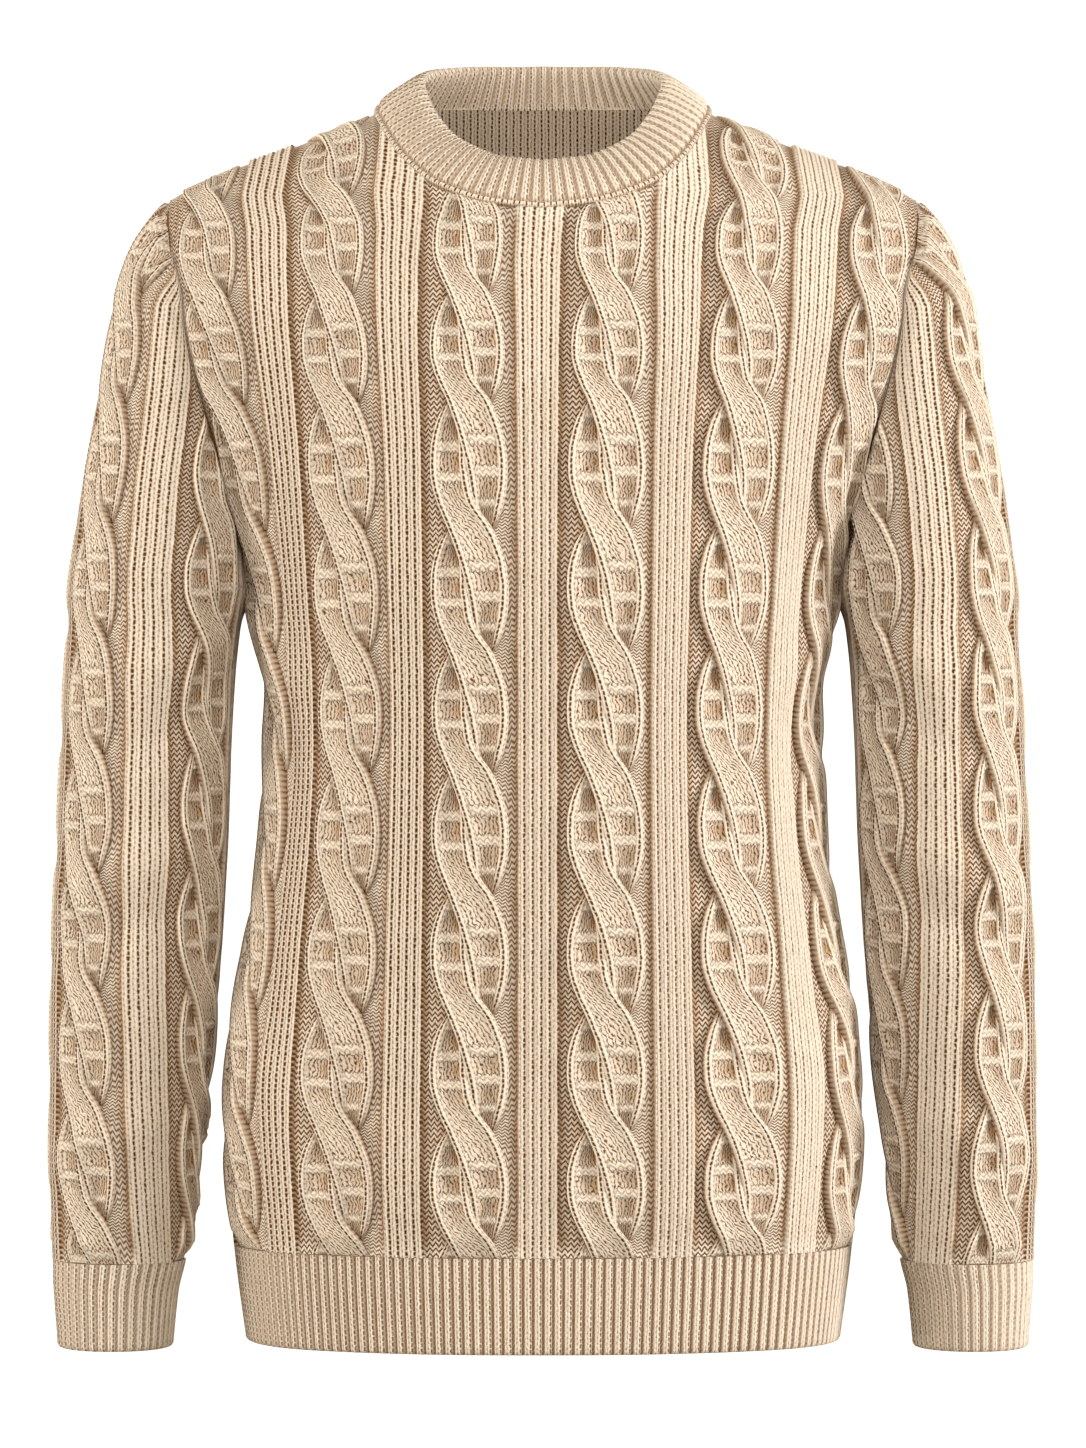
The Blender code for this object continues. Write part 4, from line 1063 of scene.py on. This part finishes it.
def knit_neckband(work, sizes):
    """A folded ribbed band with its linked seam at the foot, standing on the neck edge."""
    edge = neck_edge()
    ribs = int(lengths_along(edge)[-1] * NECK_DRAWN_IN / (sizes.neck_pitch * 1000))
    _, rise, wale, kinds = rib_columns(ribs)
    loop = closed_loop(edge, len(rise))
    base = loop[:, :3]
    base_out = loop[:, 3:] / np.linalg.norm(loop[:, 3:], axis=-1, keepdims=True)
    angle = np.arctan2(base[:, 0] / NECK_X, -(base[:, 1] - CREST_MIDDLE) / NECK_HALF_DEPTH)
    top = CRESTS.read("z", np.degrees(np.abs(angle)))
    ahead = CREST_MIDDLE - CREST_HALF_DEPTH * np.cos(angle)
    crest = np.stack([CREST_HALF_WIDTH * np.sin(angle), ahead, top], axis=-1)
    way = crest - base
    high = np.linalg.norm(way, axis=-1, keepdims=True)
    along = np.roll(crest, -1, axis=0) - np.roll(crest, 1, axis=0)
    out = np.cross(along, way / high)
    out /= np.linalg.norm(out, axis=-1, keepdims=True)
    rows = []
    stitch = []
    colours = []
    for share, off, ribbed, row, shade in NECK_PROFILE:
        lean = base_out * (1 - share) + out * share
        lean /= np.linalg.norm(lean, axis=-1, keepdims=True)
        sign = 1.0 if off > 0 or share >= 1.0 else -1.0
        lift = off + sign * ribbed * rise * sizes.band_rise * 1000
        rows.append(base + way * share + lean * lift[:, None])
        stitch.append(np.stack([wale, np.full_like(wale, row)], -1))
        mixed = kinds * (1.0, 1.0, 1.0, NECK_SHADE) * ribbed
        mixed += np.array((1.0, 0.0, 0.0, shade)) * (1 - ribbed)
        colours.append(mixed)
    places = closed(closed(np.array(stitch)), 0)
    places[:, -1, 0] += ribs * 2
    places[-1, :, 1] = NECK_PROFILE[-1][3] + 1
    start = work.add_points(np.array(rows))
    ids = start + np.arange(len(rows) * len(rise)).reshape(len(rows), -1)
    work.add_grid(closed(closed(ids), 0), places, closed(closed(np.array(colours)), 0), False)


def body_ring(z, share):
    """Points round the body at a height, from centre front by way of +X."""
    place = share * 4 * SIDE
    past_side = np.where(place > 3 * SIDE, place - 4 * SIDE, 2 * SIDE - place)
    unit = np.where(place > SIDE, past_side, place)
    level = np.full(len(share), float(z))
    at_back = ((place > SIDE) & (place < 3 * SIDE))[:, None]
    return np.where(at_back, body_point(unit, level, True), body_point(unit, level, False))


def cuff_ring(side):
    """A cuff's ring function, for the +X side where side is 1."""
    def ring(z, share):
        (_, front), (_, back) = sleeve_row(z, None, None)
        loop = np.concatenate([back[::-1], front[1:]])
        length = lengths_along(loop)
        points = points_at(loop, length, share * length[-1])
        points[:, 0] *= side
        return points if side < 0 else points[::-1]

    return ring


# ---------------------------------------------------------------- materials
def linear(colour):
    """sRGB hex to the linear numbers that the shader takes."""
    parts = [int(colour[n : n + 2], 16) / 255 for n in (1, 3, 5)]
    parts = [p / 12.92 if p <= 0.04045 else ((p + 0.055) / 1.055) ** 2.4 for p in parts]
    return (*parts, 1.0)


def node(tree, kind, settings=(), links=()):
    """Adds one node, with its settings and with what feeds its sockets."""
    made = tree.nodes.new(kind)
    for name, value in dict(settings).items():
        if isinstance(name, int):
            made.inputs[name].default_value = value
        else:
            setattr(made, name, value)
    for socket, source in dict(links).items():
        tree.links.new(source, made.inputs[socket])
    return made


# How the stitches are drawn, one sum a line: its name, what is done, whether the result is
# held between 0 and 1, and with what. `across` and `up` are places in stitches.
STITCH_SUMS = (
    ("row_place", "MULTIPLY_ADD", False, "drift", 0.5, "up"),
    ("wale_place", "MULTIPLY_ADD", False, "stray", 0.3, "across"),
    ("from_edge", "PINGPONG", False, "wale_place", 0.5),
    ("from_row", "PINGPONG", False, "row_place", 0.5),
    # Plain stitches: small holes between the wales, smaller ones within each V, drawn as painted shade.
    ("at_edge", "MULTIPLY_ADD", True, "from_edge", -9.0, 1.45),
    ("at_row", "MULTIPLY_ADD", True, "from_row", -4.0, 1.95),
    ("edge_hole", "MULTIPLY", False, "at_edge", "at_row"),
    ("at_middle", "MULTIPLY_ADD", True, "from_edge", 6.5, -2.35),
    ("between_rows", "MULTIPLY_ADD", True, "from_row", 3.6, -0.5),
    ("middle_hole", "MULTIPLY", False, "at_middle", "between_rows"),
    ("leg_side", "MULTIPLY_ADD", False, "from_edge", 4.0, -1.0),
    ("leg_size", "ABSOLUTE", False, "leg_side"),
    ("leg_fall", "POWER", False, "leg_size", 2.2),
    ("slanted", "MULTIPLY_ADD", False, "from_edge", -0.9, "row_place"),
    ("lap_place", "PINGPONG", False, "slanted", 0.5),
    ("lap", "MULTIPLY_ADD", True, "lap_place", -5.0, 0.9),
    ("knit_a", "MULTIPLY_ADD", False, "middle_hole", 0.5, "edge_hole"),
    ("knit_b", "MULTIPLY_ADD", False, "leg_fall", 0.2, "knit_a"),
    ("knit_c", "MULTIPLY_ADD", True, "lap", 0.1, "knit_b"),
    # Purl stitches: rows of small arcs with zigzags of painted shade between them.
    ("arc", "MULTIPLY_ADD", False, "from_edge", 1.5, "row_place"),
    ("arc_place", "PINGPONG", False, "arc", 0.5),
    ("arc_dark", "MULTIPLY_ADD", True, "arc_place", -3.6, 1.25),
    # Long stitches side by side, two for each wale, with painted shade in the slits between them and a
    # painted dark brink along each bar.
    ("loose", "MULTIPLY_ADD", False, "drift", 1.1, "wale_place"),
    ("pair", "MULTIPLY", False, "loose", 2.0),
    ("rung", "PINGPONG", False, "pair", 0.5),
    ("rung_dark", "MULTIPLY_ADD", True, "rung", -3.8, 1.1),
    ("stepped", "MULTIPLY_ADD", False, "rung", 0.9, "ladder"),
    ("open", "MULTIPLY_ADD", True, "stepped", 5.0, -2.8),
    ("brink", "SUBTRACT", False, "stepped", 0.62),
    ("brink_size", "ABSOLUTE", False, "brink"),
    ("brink_dark", "MULTIPLY_ADD", True, "brink_size", -5.0, 1.0),
    ("dash", "MULTIPLY_ADD", True, "arc_place", -2.8, 1.55),
    ("slit", "MULTIPLY", False, "rung_dark", "dash"),
    ("rungs", "MULTIPLY", False, "slit", "open"),
    # All together, each where its kind of stitch is.
    ("dark_knit", "MULTIPLY", False, "knit_c", "knit"),
    ("dark_purl", "MULTIPLY_ADD", False, "arc_dark", "purl", "dark_knit"),
    ("dark_rungs", "MULTIPLY_ADD", False, "rungs", 1.0, "dark_purl"),
    ("dark", "MULTIPLY_ADD", True, "brink_dark", 0.7, "dark_rungs"),
    ("raised", "SUBTRACT", False, 1.0, "dark"),
    ("hollowed", "MULTIPLY", False, "leg_fall", "knit"),
    ("relief", "MULTIPLY_ADD", False, "hollowed", -0.5, "raised"),
    ("fuzzy", "MULTIPLY_ADD", False, "fuzz", 0.35, "relief"),
    ("mottled", "MULTIPLY_ADD", True, "mottle", 1.6, -0.4),
    ("shaded", "MULTIPLY", True, "shade", 1.14),
)


def fine_knit(name, pale, mid, hollow_shade, hole_shade):
    """Soft matt wool, worsted spun and knitted in chunky plain and purl stitches. The eye sees
    round pale legs of yarn; the small dark holes between them and the warm brown hollows are
    painted shade."""
    material = bpy.data.materials.new(name)
    material.use_nodes = True
    tree = material.node_tree
    shader = tree.nodes["Principled BSDF"]
    place = node(tree, "ShaderNodeUVMap", {"uv_map": "stitches"}).outputs[0]
    place = node(tree, "ShaderNodeSeparateXYZ", {}, {0: place})
    kind = node(tree, "ShaderNodeVertexColor", {"layer_name": "kind"})
    kinds = node(tree, "ShaderNodeSeparateColor", {}, {0: kind.outputs[0]})
    sums = {
        "across": place.outputs[0],
        "up": place.outputs[1],
        "knit": kinds.outputs[0],
        "purl": kinds.outputs[1],
        "ladder": kinds.outputs[2],
        "shade": kind.outputs[1],
    }
    # Waves across a metre: slack stitches about 4 mm apart, one stray end every 2.5 mm, the
    # yarn's own mottling near 1 mm and its flock near 0.5 mm.
    coords = node(tree, "ShaderNodeTexCoord").outputs["Object"]
    for key, scale in (("drift", 260.0), ("stray", 400.0), ("mottle", 900.0), ("fuzz", 2200.0)):
        made = node(tree, "ShaderNodeTexNoise", {2: scale, 3: 2.0}, {0: coords})
        sums[key] = made.outputs[0]
    for key, operation, held, *values in STITCH_SUMS:
        settings = {"operation": operation, "use_clamp": held}
        settings.update((n, v) for n, v in enumerate(values) if not isinstance(v, str))
        links = {n: sums[v] for n, v in enumerate(values) if isinstance(v, str)}
        sums[key] = node(tree, "ShaderNodeMath", settings, links).outputs[0]
    # The yarn: pale where it is proud, mottled, and mixed towards painted shade: brown in the hollows and
    # in the holes.
    yarn = {"data_type": "RGBA", 6: linear(pale), 7: linear(mid)}
    yarn = node(tree, "ShaderNodeMix", yarn, {0: sums["mottled"]}).outputs[2]
    shaded = {"data_type": "RGBA", 7: linear(hollow_shade)}
    shaded = node(tree, "ShaderNodeMix", shaded, {0: sums["shaded"], 6: yarn}).outputs[2]
    holed = {"data_type": "RGBA", 7: linear(hole_shade)}
    holed = node(tree, "ShaderNodeMix", holed, {0: sums["dark"], 6: shaded}).outputs[2]
    tree.links.new(holed, shader.inputs["Base Color"])
    bump = node(tree, "ShaderNodeBump", {0: 1.0, 1: 0.0006}, {"Height": sums["fuzzy"]})
    tree.links.new(bump.outputs[0], shader.inputs["Normal"])
    shader.inputs["Roughness"].default_value = 0.92
    shader.inputs["Specular IOR Level"].default_value = 0.04
    shader.inputs["Sheen Weight"].default_value = 0.06
    shader.inputs["Sheen Roughness"].default_value = 0.6
    shader.inputs["Sheen Tint"].default_value = linear("#F2D3A6")
    return material


def painted_paper(name, colour):
    """Matt seamless paper, rolled: even and pale, without any gloss."""
    material = bpy.data.materials.new(name)
    material.use_nodes = True
    tree = material.node_tree
    shader = tree.nodes["Principled BSDF"]
    coords = node(tree, "ShaderNodeTexCoord").outputs["Object"]
    grain = node(tree, "ShaderNodeTexNoise", {2: 60.0, 3: 3.0}, {0: coords}).outputs[0]
    colour = node(
        tree,
        "ShaderNodeMix",
        {"data_type": "RGBA", 6: linear(colour), 7: linear("#FFFFFF")},
        {0: grain},
    ).outputs[2]
    tree.links.new(colour, shader.inputs["Base Color"])
    shader.inputs["Roughness"].default_value = 0.95
    shader.inputs["Emission Color"].default_value = linear("#FFFFFF")
    shader.inputs["Emission Strength"].default_value = 0.85
    return material


def hexed(colour):
    """A colour property as sRGB hex."""
    return "#" + "".join(f"{round(part * 255):02X}" for part in colour)


def yarn_material(name, scene):
    """The wool in the scene's colours, made once for each name."""
    found = bpy.data.materials.get(name)
    if found:
        return found
    colours = scene.sweater_colours
    picked = (hexed(c) for c in (colours.pale, colours.mid, colours.hollow_shade, colours.hole_shade))
    return fine_knit(name, *picked)


# ---------------------------------------------------------------- what a user may change
class SweaterSizes(bpy.types.PropertyGroup):
    wall: bpy.props.FloatProperty(
        name="Wall", description="Knitted wall under the raised stitches", default=0.003, unit="LENGTH"
    )
    unit: bpy.props.FloatProperty(
        name="Repeat", description="One rib and one cable side by side", default=0.073, unit="LENGTH"
    )
    wale: bpy.props.FloatProperty(
        name="Wale", description="Width of one stitch in a rib", default=0.00452, precision=5, unit="LENGTH"
    )
    row: bpy.props.FloatProperty(
        name="Row", description="Height of one row of stitches", default=0.003, unit="LENGTH"
    )
    rib_rise: bpy.props.FloatProperty(
        name="Rib rise", description="How far a rib stands off the wall", default=0.0018, unit="LENGTH"
    )
    cable_rise: bpy.props.FloatProperty(
        name="Cable rise", description="How far a cable stands off the wall", default=0.0058, unit="LENGTH"
    )
    hem_ribs: bpy.props.IntProperty(
        name="Hem ribs", description="Ribs round the hem band", default=160, min=40
    )
    cuff_ribs: bpy.props.IntProperty(
        name="Cuff ribs", description="Ribs round a cuff", default=40, min=12
    )
    neck_pitch: bpy.props.FloatProperty(
        name="Neck rib pitch", description="From one neckband rib to the next", default=0.006, unit="LENGTH"
    )
    band_rise: bpy.props.FloatProperty(
        name="Band rib rise", description="How far a band's rib stands out", default=0.0015, unit="LENGTH"
    )


class SweaterColours(bpy.types.PropertyGroup):
    pale: bpy.props.FloatVectorProperty(
        name="Pale yarn", description="Yarn where it is proud",
        subtype="COLOR", size=3, default=(0.922, 0.891, 0.851),
    )
    mid: bpy.props.FloatVectorProperty(
        name="Mid yarn", description="The yarn's darker mottling",
        subtype="COLOR", size=3, default=(0.885, 0.785, 0.655),
    )
    # Painted shade: the colour towards which the hollows between ribs and cables are mixed.
    hollow_shade: bpy.props.FloatVectorProperty(
        name="Hollow", description="Ground between ribs and cables",
        subtype="COLOR", size=3, default=(0.56, 0.39, 0.16),
    )
    # Painted shade: the colour of the small holes between stitches.
    hole_shade: bpy.props.FloatVectorProperty(
        name="Hole", description="Small holes between stitches",
        subtype="COLOR", size=3, default=(0.37, 0.20, 0.0),
    )
    paper: bpy.props.FloatVectorProperty(
        name="Paper", description="Floor and backdrop",
        subtype="COLOR", size=3, default=(0.975, 0.975, 0.972),
    )


def ride_as(piece, node_name, cables=None):
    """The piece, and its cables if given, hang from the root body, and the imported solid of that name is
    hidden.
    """
    for part in filter(None, (piece, cables)):
        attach(part, "root")
        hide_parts(node_name)


def knit_panel(scene, name, cloth, folds, centres):
    """One cut piece: its ribs and ground, and the strands of its cables as their own object."""
    wool = yarn_material("cable_knit_wool", scene)
    cloth.fold(folds)
    work = Stitching()
    knit_ground(work, cloth, scene.sweater_sizes)
    piece = work.make(name + "_knit", wool)
    work = Stitching()
    for centre in centres:
        knit_cable(work, cloth, centre, scene.sweater_sizes)
    ride_as(piece, name, work.make(name + "_cables", wool))


# ---------------------------------------------------------------- one operator for each piece
class SWEATER_OT_body(bpy.types.Operator):
    """Knit the front and the back"""

    bl_idname = "sweater.body"
    bl_label = "Front and back"

    def execute(self, context):
        centres = (-2.5, -1.5, -0.5, 0.5, 1.5, 2.5)
        for name, back in (("front_panel", False), ("back_panel", True)):
            cloth = body_cloth(back)
            knit_panel(context.scene, name, cloth, BODY_FOLDS, centres)
        return {"FINISHED"}


class SWEATER_OT_sleeves(bpy.types.Operator):
    """Knit the two sleeves"""

    bl_idname = "sweater.sleeves"
    bl_label = "Sleeves"

    def execute(self, context):
        centres = (-1.5, -0.5, 0.5, 1.5)
        for name, side in (("sleeve_left", 1), ("sleeve_right", -1)):
            cloth = sleeve_cloth(side)
            knit_panel(context.scene, name, cloth, SLEEVE_FOLDS, centres)
        return {"FINISHED"}


class SWEATER_OT_bands(bpy.types.Operator):
    """Knit the hem band, the cuffs and the neckband"""

    bl_idname = "sweater.bands"
    bl_label = "Hem, cuffs and neckband"

    def execute(self, context):
        sizes = context.scene.sweater_sizes
        wool = yarn_material("rib_knit_wool", context.scene)
        work = Stitching()
        knit_band(work, body_ring, HEM_BOTTOM, HEM_TOP - GAP, sizes.hem_ribs, sizes, 1.0)
        piece = work.make("hem_band_knit", wool)
        ride_as(piece, "hem_band")
        for name, side in (("cuff_left", 1.0), ("cuff_right", -1.0)):
            work = Stitching()
            ring = cuff_ring(side)
            knit_band(work, ring, CUFF_BOTTOM, CUFF_TOP - GAP, sizes.cuff_ribs, sizes, 0.55)
            piece = work.make(name + "_knit", wool)
            ride_as(piece, name)
        work = Stitching()
        knit_neckband(work, sizes)
        piece = work.make("neckband_knit", wool)
        ride_as(piece, "neckband")
        return {"FINISHED"}


class SWEATER_OT_stage(bpy.types.Operator):
    """Set up the paper sweep, the lights and the camera"""

    bl_idname = "sweater.stage"
    bl_label = "Stage"

    def execute(self, context):
        bpy.ops.object.select_all(action="DESELECT")
        bpy.ops.mesh.primitive_grid_add(x_subdivisions=2, y_subdivisions=80, size=2.0)
        sweep = context.active_object
        sweep.name = "paper_sweep"
        mesh = sweep.data
        points = np.zeros(len(mesh.vertices) * 3)
        mesh.vertices.foreach_get("co", points)
        points = points.reshape(-1, 3)
        # A roll of paper lies flat from the front and then turns up into a wall.
        length, flat, radius, half_width, front, floor = 25.0, 18.4, 1.2, 5.0, -9.0, -1.15
        along = (points[:, 1] + 1) / 2 * length
        angle = np.clip((along - flat) / radius, 0, math.pi / 2)
        rise = np.maximum(along - flat - radius * math.pi / 2, 0)
        points[:, 0] *= half_width
        points[:, 1] = front + np.minimum(along, flat) + radius * np.sin(angle)
        points[:, 2] = floor + radius * (1 - np.cos(angle)) + rise
        mesh.vertices.foreach_set("co", points.ravel())
        mesh.shade_smooth()
        mesh.materials.append(
            painted_paper("seamless_paper", hexed(context.scene.sweater_colours.paper))
        )
        sweep.visible_diffuse = False
        world = bpy.data.worlds.new("soft_room")
        context.scene.world = world
        world.use_nodes = True
        background = world.node_tree.nodes["Background"]
        background.inputs[0].default_value = linear("#FFEBC4")
        background.inputs[1].default_value = 0.28
        middle = (0.0, 0.0, -0.33)
        lights = (
            ("key_softbox", (3.2, -1.15, -0.1), middle, "#FFFFFF", 115.0, 0.9),
            ("side_softbox", (-3.1, -1.1, -0.4), middle, "#FFFDF6", 70.0, 1.2),
            ("fill_softbox", (0.4, -3.4, 0.3), middle, "#FFFFFC", 14.0, 1.4),
            ("low_left_softbox", (-1.7, -2.7, -0.9), middle, "#FFFFFC", 25.5, 1.2),
            ("low_right_softbox", (1.3, -2.9, -0.9), middle, "#FFFFFC", 22.0, 1.2),
            ("top_softbox", (-0.2, -1.5, 1.8), middle, "#FFFFFC", 38.0, 1.4),
            ("collar_glow", (0.0, -0.02, -0.06), (0.0, 0.08, 0.01), "#FFEFD8", 0.026, 0.05),
            ("back_softbox", (-1.9, 2.4, 0.9), middle, "#FFFFFC", 60.0, 1.4),
            ("back_fill_softbox", (2.1, 2.2, 0.4), middle, "#FFFFFC", 30.0, 1.4),
        )
        for name, place, aim, colour, power, size in lights:
            bpy.ops.object.light_add(type="AREA", location=place)
            lamp = context.active_object
            lamp.name = name
            lamp.data.energy = power
            lamp.data.color = linear(colour)[:3]
            lamp.data.size = size
            x, y, z = np.array(place) - np.array(aim)
            lamp.rotation_euler = (math.atan2(math.hypot(x, y), z), 0.0, math.atan2(x, -y))
        bpy.ops.object.camera_add(
            location=(0.0, -3.6, -0.3427), rotation=(math.pi / 2, 0.0, 0.0)
        )
        camera = context.active_object
        camera.data.lens = 159.8
        camera.data.dof.use_dof = False
        camera.data.clip_end = 50.0
        context.scene.camera = camera
        context.scene.view_settings.view_transform = "Standard"
        return {"FINISHED"}


class SWEATER_PT_panel(bpy.types.Panel):
    """Lists the pieces of the sweater"""

    bl_label = "Cable knit sweater"
    bl_idname = "SWEATER_PT_panel"
    bl_space_type = "VIEW_3D"
    bl_region_type = "UI"
    bl_category = "Sweater"

    def draw(self, context):
        for group in (context.scene.sweater_sizes, context.scene.sweater_colours):
            for name in group.bl_rna.properties.keys():
                if name not in ("rna_type", "name"):
                    self.layout.prop(group, name)
        for operator in OPERATORS:
            self.layout.operator(operator.bl_idname)


OPERATORS = (SWEATER_OT_body, SWEATER_OT_sleeves, SWEATER_OT_bands, SWEATER_OT_stage)
CLASSES = (SweaterSizes, SweaterColours, *OPERATORS, SWEATER_PT_panel)


def register():
    for cls in CLASSES:
        bpy.utils.register_class(cls)
    bpy.types.Scene.sweater_sizes = bpy.props.PointerProperty(type=SweaterSizes)
    bpy.types.Scene.sweater_colours = bpy.props.PointerProperty(type=SweaterColours)


def unregister():
    del bpy.types.Scene.sweater_sizes
    del bpy.types.Scene.sweater_colours
    for cls in reversed(CLASSES):
        bpy.utils.unregister_class(cls)


def main():
    register()
    bpy.ops.sweater.body()
    bpy.ops.sweater.sleeves()
    bpy.ops.sweater.bands()
    bpy.ops.sweater.stage()


if __name__ == "__main__":
    main()
